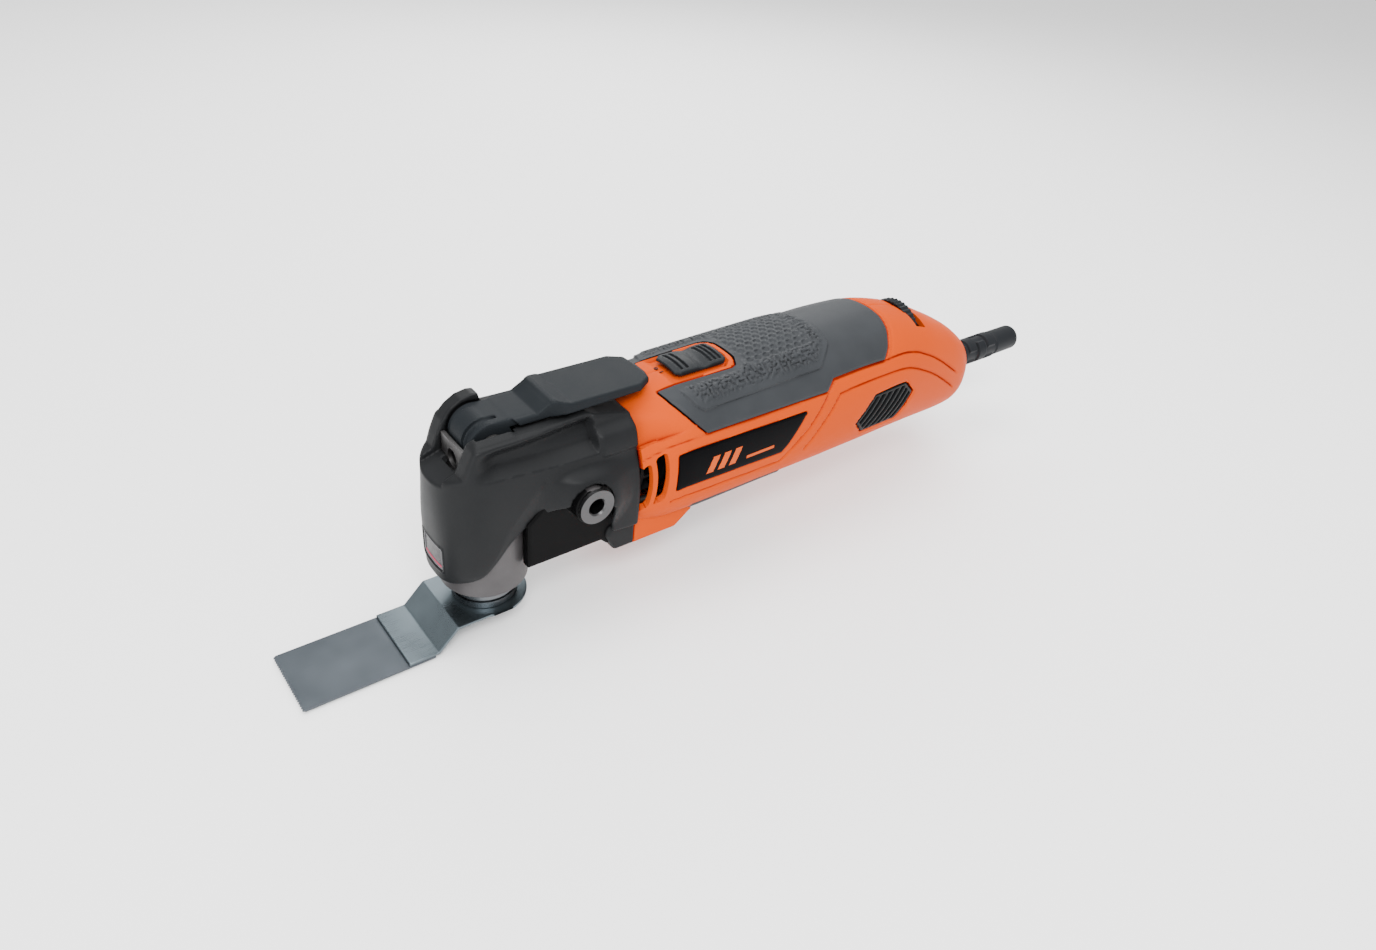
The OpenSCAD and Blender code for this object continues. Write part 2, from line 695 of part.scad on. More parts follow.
flange_r = 13.1;
pin_circle_r = 9.2;
pin_r = 1.6;
carrier_t = 1.2;
module output_spindle() {
    spring_seat = 36;
    color("silver")
        difference() {
            zcyl(spindle_r, 0.4, 62.8);
            zcyl(rod_r + run_gap, 0, 64);
            zcyl(4.9, spring_seat, 64);
        }
}
module swing_fork() {
    inner = 7.5 + 2 * eccentric_e + 0.3;
    outer = 12.2;
    color("slategray")
        difference() {
            union() {
                zcyl(10.5, 42.5, 53.5);
                box([4, -outer, 44], [14, outer, 52]);
                both_sides() box([10, inner, 44], [33.5, outer, 52]);
            }
            zcyl(spindle_r + fit_gap, 40, 60);
            // Room for the eccentric bearing between the prongs
            box([14, -inner, 40], [40, inner, 60]);
        }
}
module drive_flange() {
    groove_z = 3.1;
    color("slategray") {
        difference() {
            rotate_extrude() polygon([[spindle_r + fit_gap, 0], [flange_r - 0.3, 0], [flange_r, 0.3],
                [flange_r, groove_z], [flange_r - 0.9, groove_z + 0.1], [flange_r - 0.9, groove_z + 0.9],
                [flange_r - 0.2, groove_z + 1], [flange_r - 0.5, flange_h - 0.6], [flange_r - 1.2, flange_h],
                [7.4, flange_h], [7.4, 10.95], [spindle_r + fit_gap, 10.95]]);
            zcyl(4.5, -1, 1);
        }
        // Locating pins that pass into the blade
        for (a = [0:90:270]) zcyl(pin_r, -1.1, 0.1, pin_circle_r * cos(a), pin_circle_r * sin(a));
    }
}

// Blade profile, seen from the side
lower_face = -8.8;
bend_x = [-28.3, -19.5];
step_x = -40.2;
strip_t = 0.9;
module blade_carrier() {
    profile = [[18, 0], [bend_x[1], 0], [bend_x[0], lower_face], [step_x, lower_face],
        [step_x, lower_face - carrier_t], [bend_x[0] - 0.5, lower_face - carrier_t],
        [bend_x[1] - 0.5, -carrier_t], [18, -carrier_t]];
    color("slategray")
        difference() {
            intersection() {
                side_prism(profile, -blade_w / 2, blade_w / 2);
                union() {
                    zcyl(17.1, -20, 5);
                    box([-60, -blade_w / 2, -20], [-6, blade_w / 2, 5]);
                }
            }
            zcyl(5, -5, 5);
            for (a = [0:90:270])
                zcyl(pin_r + 0.1, -5, 5, pin_circle_r * cos(a), pin_circle_r * sin(a));
        }
}
module saw_strip() {
    pitch = blade_w / tooth_count;
    tooth_h = 1.1;
    root_x = -blade_reach + tooth_h;
    strip_top = lower_face - carrier_t;
    color("lightslategray")
        translate([0, 0, strip_top - strip_t]) linear_extrude(strip_t)
            polygon(concat(
                [[-29.5, -blade_w / 2], [-29.5, blade_w / 2]],
                [for (i = [0:tooth_count - 1]) let(y = blade_w / 2 - i * pitch)
                    each [[root_x, y], [-blade_reach, y - pitch / 2]]],
                [[root_x, -blade_w / 2]]));
}

module clamp_bolt() {
    head_r = 11;
    color("dimgray")
        difference() {
            union() {
                rotate_extrude() polygon([[0, -4.6], [6, -4.6], [7, -3.6], [head_r - 0.6, -3.4],
                    [head_r, -2.9], [head_r, -1.25], [0, -1.25]]);
                zcyl(rod_r, -1.3, 58.6);
            }
            translate([0, 0, -5]) cylinder(r = 2.9, h = 2.4, $fn = 6);
        }
}
module clamp_cap() {
    color("silver") zcyl(4.8, 58.6, 66.7);
}
module clamp_spring() {
    color("silver") helix(3.95, 0.6, 36.05, 58.5, 7);
}

module motor_shaft() {
    color("silver") {
        xcyl(2.4, 24, 38.5);
        xcyl(4, 38.5, 144);
        xcyl(3.5, 144, 156);
    }
}
// Square slots that the armature's core and winding share
module armature_slots(r0, r1, w, x0, x1) {
    for (a = [0:30:330])
        translate([0, 0, motor_z]) rotate([a, 0, 0]) box([x0, -w / 2, r0], [x1, w / 2, r1]);
}
module armature_core() {
    color("gray")
        difference() {
            xcyl(armature_r, 86, 120);
            xcyl(4 + fit_gap, 80, 130);
            armature_slots(8.5, 20, 2.6, 80, 130);
        }
}
module armature_winding() {
    color("chocolate") {
        armature_slots(8.6, 13.4, 2.4, 86, 120);
        for (x = [79.5, 120.05])
            difference() {
                xcyl(13.4, x, x + 6.45);
                xcyl(4.1, x - 1, x + 8);
            }
    }
}
module commutator() {
    color("peru")
        difference() {
            xcyl(10.5, 129, 142);
            xcyl(4 + fit_gap, 120, 150);
            for (a = [0:15:345])
                translate([0, 0, motor_z]) rotate([a, 0, 0]) box([130, -0.2, 9.7], [143, 0.2, 11]);
        }
}
module cooling_fan() {
    color([0.1, 0.1, 0.1])
        difference() {
            union() {
                xcyl(7, 60, 69);
                xcyl(20.8, 60, 61.4);
                for (i = [0:fan_blades - 1])
                    translate([0, 0, motor_z]) rotate([i * 360 / fan_blades, 0, 0])
                        box([61.3, -0.7, 6], [68.6, 0.7, 20.4]);
            }
            xcyl(4 + fit_gap, 50, 80);
        }
}
module eccentric() {
    bush_r = 4.2;
    weight = concat([for (a = [180:15:360]) 9 * [cos(a), sin(a)]], [[4, 0], [-4, 0]]);
    color("dimgray")
        difference() {
            union() {
                xcyl(bush_r, 24.6, 34.6, eccentric_e);
                // Balance weight opposite the eccentric's throw
                translate([34.5, 0, motor_z]) rotate([90, 0, 90]) rotate(-90) linear_extrude(3.8)
                    difference() {
                        union() {
                            polygon(weight);
                            circle(4.6);
                        }
                        circle(2.4 + fit_gap);
                    }
            }
            xcyl(2.4 + fit_gap, 20, 40);
        }
}
module eccentric_bearing() {
    color("lightgray")
        translate([0, eccentric_e, 0]) bearing_x(7.5, 4.2 + fit_gap, 25.5, 31.5);
}

module lever() {
    arm_half_w = 10.4;
    paddle_half_w = 12.8;
    profile = [[1.2, 83.1], [6, 83], [19, 82.8], [25.5, 86.6], [27, 86.6], [31, 84.6], [69.5, 84.2],
        [71.5, 83], [71.5, 80.8], [31, 80.3], [26, 79.6], [8.5, 79.6], [5, 76], [1.2, 76]];
    paddle = [[25, -arm_half_w], [30, -paddle_half_w], [64, -paddle_half_w], [69.6, -9.2], [72, -3],
        [72, 3], [69.6, 9.2], [64, paddle_half_w], [30, paddle_half_w], [25, arm_half_w]];
    color([0.25, 0.27, 0.28])
        difference() {
            union() {
                both_sides() ycyl(lever_hub_r, 5.7, lever_half_w, lever_pin_x, lever_pin_z);
                // Cam that bears on the clamp rod's cap
                ycyl(cam_r, -5.8, 5.8, lever_pin_x + cam_offset[0], lever_pin_z + cam_offset[1]);
                intersection() {
                    side_prism(profile, -lever_half_w, lever_half_w);
                    box([0, -20, 70], [26, 20, 90]);
                }
                difference() {
                    intersection() {
                        side_prism(profile, -arm_half_w, arm_half_w);
                        box([9, -20, 70], [26, 20, 90]);
                    }
                    both_sides() ycyl(11.4, lever_half_w, 20, lever_pin_x, lever_pin_z);
                }
                intersection() {
                    side_prism(profile, -paddle_half_w, paddle_half_w);
                    translate([0, 0, 70]) linear_extrude(20) polygon(paddle);
                }
            }
            ycyl(lever_pin_r + run_gap, -20, 20, lever_pin_x, lever_pin_z);
        }
}

module switch_button() {
    top = 81.7;
    base = 80.1;
    // Plan outline with clipped corners
    plan = [[84, -6.6], [86, -8.3], [108.5, -8.3], [110, -7], [110, 7], [108.5, 8.3], [86, 8.3], [84, 6.6]];
    color([0.2, 0.22, 0.23]) {
        difference() {
            translate([0, 0, base]) linear_extrude(top - base) polygon(plan);
            for (x = [87.2, 90.2, 101.2, 104.4, 107.4])
                box([x - 0.5, -6, top - 0.8], [x + 0.5, 6, top + 1]);
        }
        box([92.2, -3, 76.6], [98, 3, base + 0.1]);
    }
}
module switch_rod() {
    color("black") {
        box([90, -3.2, 75.2], [171, 3.2, 76.55]);
        box([169, -3.2, 71.8], [171, 3.2, 75.3]);
    }
}
module speed_dial() {
    teeth = 40;
    color([0.15, 0.16, 0.17]) {
        translate([dial_x - 2.5, 0, dial_z]) rotate([90, 0, 90]) linear_extrude(5)
            polygon([for (k = [0:2 * teeth - 1]) let(r = dial_r - (k % 2) * 0.6, a = k * 180 / teeth)
                [r * cos(a), r * sin(a)]]);
        xcyl(3, dial_x + 2.4, 226.5, 0, dial_z);
    }
}

housing_left();
housing_right();
grip_saddle();
grip_belly();
label_left();
label_right();
vent_grille_left();
vent_grille_right();
strain_relief();
cord_clamp();
cord_clamp_screws();
housing_screws();
gear_housing();
gear_cover();
head_cover();
led_lens();
led_board();
handle_insert_left();
handle_insert_right();
lever_pin();
lever_bracket();
spindle_lower_bearing();
spindle_upper_bearing();
spindle_seal();
gearbox_screws();
stator_core();
field_coils();
air_baffle();
brush_holder_left();
brush_holder_right();
carbon_brush_left();
carbon_brush_right();
brush_springs();
motor_front_bearing();
motor_rear_bearing();
rear_bearing_sleeve();
switch_unit();
speed_board();
wiring();
output_spindle();
swing_fork();
drive_flange();
blade_carrier();
saw_strip();
clamp_bolt();
clamp_cap();
clamp_spring();
motor_shaft();
armature_core();
armature_winding();
commutator();
cooling_fan();
eccentric();
eccentric_bearing();
lever();
switch_button();
switch_rod();
speed_dial();
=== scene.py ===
"""The looks of a corded oscillating multi tool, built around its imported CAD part.

Shapes are worked out in millimetres and turned into metres when a mesh is made. The housing, grips and name
plates are patches of one surface, laid out by x and by the arc length s from the top centre line, which is
negative on the left. The moulded covers, the lever and the trims are surfaces where a field is zero.
"""

import functools
import json
import math

import bmesh
import bpy
import numpy as np
from mathutils import Matrix, Vector


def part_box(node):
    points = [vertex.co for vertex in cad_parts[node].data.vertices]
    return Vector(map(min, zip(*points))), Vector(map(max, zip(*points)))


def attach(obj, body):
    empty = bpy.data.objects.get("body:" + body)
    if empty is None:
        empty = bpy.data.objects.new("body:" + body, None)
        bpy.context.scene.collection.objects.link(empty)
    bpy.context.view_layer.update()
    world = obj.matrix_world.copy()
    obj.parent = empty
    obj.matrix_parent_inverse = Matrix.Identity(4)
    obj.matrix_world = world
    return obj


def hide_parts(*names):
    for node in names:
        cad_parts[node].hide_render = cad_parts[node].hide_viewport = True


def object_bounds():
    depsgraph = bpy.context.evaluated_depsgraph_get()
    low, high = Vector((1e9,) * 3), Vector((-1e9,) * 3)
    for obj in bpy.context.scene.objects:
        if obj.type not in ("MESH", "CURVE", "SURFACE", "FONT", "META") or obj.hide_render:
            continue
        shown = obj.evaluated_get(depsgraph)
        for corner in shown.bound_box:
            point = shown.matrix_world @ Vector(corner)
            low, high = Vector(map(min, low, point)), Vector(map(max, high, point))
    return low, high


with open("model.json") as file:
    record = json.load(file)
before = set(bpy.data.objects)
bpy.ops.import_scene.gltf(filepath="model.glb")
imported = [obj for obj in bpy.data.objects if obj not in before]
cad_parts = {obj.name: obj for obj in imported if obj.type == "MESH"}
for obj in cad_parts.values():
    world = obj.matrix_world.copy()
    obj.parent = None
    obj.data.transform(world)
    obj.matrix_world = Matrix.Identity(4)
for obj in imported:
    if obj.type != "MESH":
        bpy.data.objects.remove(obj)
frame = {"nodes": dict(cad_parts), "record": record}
size_at_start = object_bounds()
MM = 0.001


def middle(node):
    """Centre of a CAD node's box, in millimetres."""
    low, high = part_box(node)
    return (low + high) / 2 / MM


# ---------------------------------------------------------------- camera, light and floor

CAMERA_PLACE = Vector((-139.88, -287.39, 285.75)) * MM
CAMERA_AZIMUTH, CAMERA_ELEVATION, CAMERA_ROLL = -40.09, 35.36, 5.81
CAMERA_LENS = 26.81


def add_camera():
    """The photo's viewpoint, as a turn about z, a tilt and a roll."""
    az, el, roll = (math.radians(v) for v in (CAMERA_AZIMUTH, CAMERA_ELEVATION, CAMERA_ROLL))
    right = Vector((math.cos(az), math.sin(az), 0))
    back = Vector((math.sin(az) * math.cos(el), -math.cos(az) * math.cos(el), math.sin(el)))
    up = back.cross(right)
    tilted_right = math.cos(roll) * right + math.sin(roll) * up
    tilted_up = math.cos(roll) * up - math.sin(roll) * right
    data = bpy.data.cameras.new("camera")
    data.lens = CAMERA_LENS
    data.sensor_width = 36
    data.clip_start = 0.01
    data.dof.use_dof = False
    camera = bpy.data.objects.new("camera", data)
    camera.matrix_world = Matrix.Translation(CAMERA_PLACE) @ Matrix(
        (tilted_right, tilted_up, back)).transposed().to_4x4()
    bpy.context.scene.collection.objects.link(camera)
    bpy.context.scene.camera = camera


def add_area_light(name, place, target, size, power):
    data = bpy.data.lights.new(name, "AREA")
    data.shape = "RECTANGLE"
    data.size, data.size_y = size
    data.energy = power
    light = bpy.data.objects.new(name, data)
    light.location = place
    light.rotation_euler = (Vector(place) - Vector(target)).to_track_quat("Z", "Y").to_euler()
    bpy.context.scene.collection.objects.link(light)


def add_studio():
    """Four soft white lamps and a pale surround."""
    target = (0.1, 0, 0.04)
    add_area_light("key", (-0.35, -0.8, 1.1), target, (0.7, 0.5), 25)
    add_area_light("top", (0.25, 0.15, 1.2), target, (1.2, 0.8), 20)
    add_area_light("rim", (0.6, 0.8, 0.6), target, (0.7, 0.4), 6)
    add_area_light("low_fill", (-0.8, -0.35, 0.2), target, (0.6, 0.4), 4)
    world = bpy.data.worlds.new("studio")
    world.use_nodes = True
    background = world.node_tree.nodes["Background"]
    background.inputs["Color"].default_value = (1, 1, 1, 1)
    background.inputs["Strength"].default_value = 0.98
    bpy.context.scene.world = world


def add_floor():
    """A plain floor just under the lowest point of the object."""
    lowest = size_at_start[0].z - 1 * MM
    half = 6
    mesh = bpy.data.meshes.new("floor")
    corners = [(-half, -half, lowest), (half, -half, lowest), (half, half, lowest), (-half, half, lowest)]
    mesh.from_pydata(corners, [], [(0, 1, 2, 3)])
    floor = bpy.data.objects.new("floor", mesh)
    bpy.context.scene.collection.objects.link(floor)
    paint = bpy.data.materials.new("floor_white")
    paint.use_nodes = True
    shader = paint.node_tree.nodes["Principled BSDF"]
    shader.inputs["Base Color"].default_value = (0.97, 0.97, 0.97, 1)
    shader.inputs["Roughness"].default_value = 0.9
    mesh.materials.append(paint)


# ---------------------------------------------------------------- materials


class Nodes:
    """Short names for building one material's node tree."""

    def __init__(self, name):
        self.material = bpy.data.materials.new(name)
        self.material.use_nodes = True
        self.tree = self.material.node_tree
        self.shader = self.tree.nodes["Principled BSDF"]

    def add(self, kind, **settings):
        node = self.tree.nodes.new(kind)
        for key, value in settings.items():
            if key in node.inputs:
                node.inputs[key].default_value = value
            else:
                setattr(node, key, value)
        return node

    def link(self, source, target):
        self.tree.links.new(source, target)

    def noise(self, size_mm, stretch=(1, 1, 1), detail=3.0):
        """Noise with features of this size, in the object's own coordinates."""
        place = self.add("ShaderNodeTexCoord")
        mapping = self.add("ShaderNodeMapping", Scale=[s / (size_mm * MM) for s in stretch])
        noise = self.add("ShaderNodeTexNoise", Scale=1.0, Detail=detail, Roughness=0.55)
        self.link(place.outputs["Object"], mapping.inputs["Vector"])
        self.link(mapping.outputs["Vector"], noise.inputs["Vector"])
        return noise.outputs["Fac"]

    def ranged(self, value, low, high, start=0.3, end=0.7):
        """A value from start to end, brought to the range from low to high."""
        span = self.add("ShaderNodeMapRange")
        span.inputs["From Min"].default_value = start
        span.inputs["From Max"].default_value = end
        span.inputs["To Min"].default_value = low
        span.inputs["To Max"].default_value = high
        self.link(value, span.inputs["Value"])
        return span.outputs["Result"]

    def blended(self, value, one, two):
        """A colour between two, by a value from 0 to 1."""
        mix = self.add("ShaderNodeMix", data_type="RGBA")
        mix.inputs["A"].default_value = (*one, 1)
        mix.inputs["B"].default_value = (*two, 1)
        self.link(value, mix.inputs["Factor"])
        return mix.outputs["Result"]


# Paints are held this dark so that the studio can be bright enough for a pale floor
TONE = 0.72


def finish_material(name, colour, roughness, metallic=0.0, mottle=0.08, mottle_mm=14, grain_mm=0.35,
                    grain_depth=0.02, stretch=(1, 1, 1), spread=0.06, specular=0.5, crevice_shade=None):
    """A surface with slow changes of tone and roughness, a fine grain and, if asked, painted shade in its
    crevices.
    """
    n = Nodes(name)
    colour = [c * TONE for c in colour]
    slow = n.noise(mottle_mm, detail=2.0)
    fine = n.noise(grain_mm, stretch, detail=4.0)
    darker = [c * (1 - mottle) for c in colour]
    lighter = [min(1, c * (1 + mottle)) for c in colour]
    tone = n.blended(n.ranged(slow, 0, 1), darker, lighter)
    # Painted shade: in crevices the base colour turns towards a darker colour, by ambient occlusion within
    # 1.6 mm
    if crevice_shade:
        open_sky = n.add("ShaderNodeAmbientOcclusion", Distance=1.6 * MM, samples=8)
        crevice_shading = n.blended(n.ranged(open_sky.outputs["AO"], 0, 1, 0.45, 0.9), crevice_shade, colour)
        n.link(tone, crevice_shading.node.inputs["B"])
        tone = crevice_shading
    n.link(tone, n.shader.inputs["Base Color"])
    rough = n.add("ShaderNodeMath", operation="ADD")
    n.link(n.ranged(slow, roughness - spread / 2, roughness + spread / 2), rough.inputs[0])
    n.link(n.ranged(fine, -spread / 2, spread / 2), rough.inputs[1])
    n.link(rough.outputs["Value"], n.shader.inputs["Roughness"])
    bump = n.add("ShaderNodeBump", Strength=0.6, Distance=grain_depth * MM)
    n.link(fine, bump.inputs["Height"])
    n.link(bump.outputs["Normal"], n.shader.inputs["Normal"])
    n.shader.inputs["Metallic"].default_value = metallic
    n.shader.inputs["Specular IOR Level"].default_value = specular * TONE
    return n.material


def lens_material(name):
    """Smoky plastic that lets a little light through."""
    n = Nodes(name)
    n.link(n.blended(n.ranged(n.noise(2.5), 0, 1), (0.02, 0.0185, 0.02), (0.04, 0.037, 0.039)),
           n.shader.inputs["Base Color"])
    n.link(n.ranged(n.noise(1.2), 0.25, 0.4), n.shader.inputs["Roughness"])
    n.shader.inputs["Transmission Weight"].default_value = 0.08
    n.shader.inputs["Specular IOR Level"].default_value = 0.1
    return n.material


def make_materials():
    """Every material, by the name of its slot: colour, roughness and further settings."""
    brushed = dict(metallic=1.0, grain_mm=0.22, grain_depth=0.012, mottle=0.1, mottle_mm=18, spread=0.12)
    # Plain rubbers and plastics get near-black painted shade in their crevices
    plain = dict(grain_mm=0.4, grain_depth=0.03, specular=0.14, crevice_shade=(0.004, 0.0042, 0.0045))
    ground = dict(metallic=0.95, grain_mm=0.25, grain_depth=0.01, stretch=(0.03, 1, 1), spread=0.12)
    paints = {
        # The orange shell gets deep red painted shade in its grooves and crevices
        "orange_shell": ((0.66, 0.07, 0.0), 0.5, dict(
            mottle=0.03, mottle_mm=40, grain_mm=0.5, grain_depth=0.012, specular=0.05,
            crevice_shade=(0.26, 0.006, 0.0))),
        "grip_rubber": ((0.036, 0.039, 0.043), 0.5, plain),
        "label_black": ((0.0015, 0.0015, 0.002), 0.4, dict(
            mottle=0.3, grain_mm=0.8, grain_depth=0.004, specular=0.04)),
        "label_mark": ((0.66, 0.085, 0.0), 0.4, dict(
            mottle=0.05, grain_mm=0.6, grain_depth=0.006, specular=0.15)),
        "trim_black": ((0.009, 0.0095, 0.01), 0.5, plain),
        "boot_rubber": ((0.013, 0.0145, 0.017), 0.5, plain),
        "cast_aluminium": ((0.085, 0.08, 0.082), 0.45, dict(
            metallic=0.4, grain_mm=0.5, grain_depth=0.05, mottle=0.12, specular=0.3)),
        "gear_cover_black": ((0.0025, 0.0025, 0.0027), 0.42, dict(mottle=0.2, grain_mm=0.6, specular=0.06)),
        # The head cover's rubber gets black painted shade in its crevices
        "head_rubber": ((0.0125, 0.0132, 0.0142), 0.46, dict(
            grain_mm=0.38, grain_depth=0.03, specular=0.12, crevice_shade=(0.002, 0.002, 0.002))),
        "lens_frame": ((0.16, 0.16, 0.17), 0.35, dict(mottle=0.1, specular=0.3)),
        "lens_pink": ((0.6, 0.03, 0.1), 0.3, dict(mottle=0.1, specular=0.2)),
        "circuit_board": ((0.02, 0.18, 0.07), 0.35, dict(grain_mm=1.2)),
        "polished_steel": ((0.1, 0.1, 0.102), 0.34, brushed),
        "bracket_steel": ((0.15, 0.147, 0.147), 0.45, brushed),
        "bearing_steel": ((0.4, 0.41, 0.42), 0.28, brushed),
        "zinc_steel": ((0.45, 0.45, 0.43), 0.34, brushed),
        "spring_steel": ((0.36, 0.36, 0.37), 0.32, brushed),
        "dark_steel": ((0.17, 0.18, 0.19), 0.3, brushed),
        "lamination_steel": ((0.2, 0.2, 0.21), 0.5, dict(
            metallic=0.8, grain_mm=0.5, grain_depth=0.08, stretch=(1, 0.02, 0.02))),
        "blade_steel": ((0.15, 0.185, 0.205), 0.32, dict(ground, mottle=0.14, mottle_mm=22)),
        "saw_steel": ((0.1, 0.115, 0.13), 0.36, dict(ground, mottle=0.16, mottle_mm=26)),
        "copper_wire": ((0.5, 0.17, 0.05), 0.35, dict(
            metallic=0.9, grain_mm=0.5, grain_depth=0.1, stretch=(0.05, 1, 1))),
        "copper_bars": ((0.65, 0.3, 0.15), 0.3, dict(metallic=1.0)),
        "brass_parts": ((0.65, 0.47, 0.17), 0.3, dict(metallic=1.0)),
        "carbon": ((0.02, 0.02, 0.02), 0.6, dict(grain_depth=0.05)),
        "seal_rubber": ((0.03, 0.02, 0.015), 0.55, {}),
        "wire_insulation": ((0.2, 0.07, 0.02), 0.35, {}),
        "lever_plastic": ((0.014, 0.0165, 0.019), 0.5, dict(grain_mm=0.4, grain_depth=0.03, specular=0.07)),
        "button_plastic": ((0.012, 0.014, 0.016), 0.45, plain),
    }
    made = {name: finish_material(name, colour, roughness, **more)
            for name, (colour, roughness, more) in paints.items()}
    made["lens_clear"] = lens_material("lens_clear")
    return made


# ---------------------------------------------------------------- meshes


def add_piece(name, points_mm, faces, slot, body="housing", replaces=(), crease=38, material=None):
    """A mesh object that rides on a body, from points in millimetres."""
    mesh = bpy.data.meshes.new(name)
    mesh.from_pydata((np.asarray(points_mm) * MM).tolist(), [], [list(map(int, f)) for f in faces])
    shape = bmesh.new()
    shape.from_mesh(mesh)
    bmesh.ops.remove_doubles(shape, verts=shape.verts, dist=0.002 * MM)
    bmesh.ops.dissolve_degenerate(shape, edges=shape.edges, dist=0.001 * MM)
    bmesh.ops.recalc_face_normals(shape, faces=shape.faces)
    shape.to_mesh(mesh)
    shape.free()
    mesh.shade_smooth()
    mesh.set_sharp_from_angle(angle=math.radians(crease))
    mesh.materials.append(MATERIALS[material or slot])
    piece = bpy.data.objects.new(name, mesh)
    bpy.context.scene.collection.objects.link(piece)
    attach(piece, body)
    if replaces:
        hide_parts(*replaces)
    return piece


def smooth(a, b, x):
    """A soft step from 0 at a to 1 at b."""
    t = np.clip((x - a) / (b - a), 0, 1)
    return t * t * (3 - 2 * t)


def along(rows, column, x):
    """Value of one column at x, on a smooth curve through rows that rise in x."""
    rows = np.asarray(rows, float)
    xs, ys = rows[:, 0], rows[:, column]
    step = np.diff(ys) / np.diff(xs)
    product, total = step[:-1] * step[1:], step[:-1] + step[1:]
    inner = np.where(product > 0, 2 * product / np.where(total == 0, 1, total), 0)
    slope = np.concatenate([step[:1], inner, step[-1:]])
    i = np.clip(np.searchsorted(xs, x, side="right") - 1, 0, len(xs) - 2)
    h = xs[i + 1] - xs[i]
    t = np.clip((x - xs[i]) / h, 0, 1)
    return ((2 * t**3 - 3 * t**2 + 1) * ys[i] + (t**3 - 2 * t**2 + t) * h * slope[i]
            + (3 * t**2 - 2 * t**3) * ys[i + 1] + (t**3 - t**2) * h * slope[i + 1])


def line_distance(u, v, points):
    """Distance to an open line of straight stretches."""
    nearest = np.full(np.broadcast(u, v).shape, 1e9)
    for (au, av), (bu, bv) in zip(points, points[1:]):
        eu, ev = bu - au, bv - av
        t = np.clip(((u - au) * eu + (v - av) * ev) / (eu * eu + ev * ev), 0, 1)
        nearest = np.minimum(nearest, (u - au - t * eu) ** 2 + (v - av - t * ev) ** 2)
    return np.sqrt(nearest)


def polygon_field(u, v, points):
    """Signed distance to a closed outline, negative inside."""
    closed = points + points[:1]
    inside = np.zeros(np.broadcast(u, v).shape, bool)
    for (au, av), (bu, bv) in zip(closed, closed[1:]):
        if av != bv:
            inside ^= ((av > v) != (bv > v)) & (u < (bu - au) * (v - av) / (bv - av) + au)
    return np.where(inside, -1, 1) * line_distance(u, v, closed)


def both(a, b, r=0.01):
    """Where both fields are solid, with a rounded edge of radius r."""
    h = np.maximum(r - np.abs(a - b), 0)
    return np.maximum(a, b) + h * h / (4 * r)


def either(a, b, r=0.01):
    """Where one field or the other is solid, with a fillet of radius r."""
    return -both(-a, -b, r)


def without(a, b, r=0.01):
    """The first field less the second, with a rounded edge of radius r."""
    return both(a, -b, r)


def common(*fields):
    """Where every field is solid, with sharp edges."""
    return functools.reduce(np.maximum, fields)


def joined(*fields):
    """Where any of the fields is solid, with sharp edges."""
    return functools.reduce(np.minimum, fields)


def slab(v, low, high):
    """Solid between two planes."""
    return np.maximum(low - v, v - high)


def disc(u, v, r, cu=0.0, cv=0.0):
    """Solid within r of a centre, and so a rod along the third axis."""
    return np.hypot(u - cu, v - cv) - r


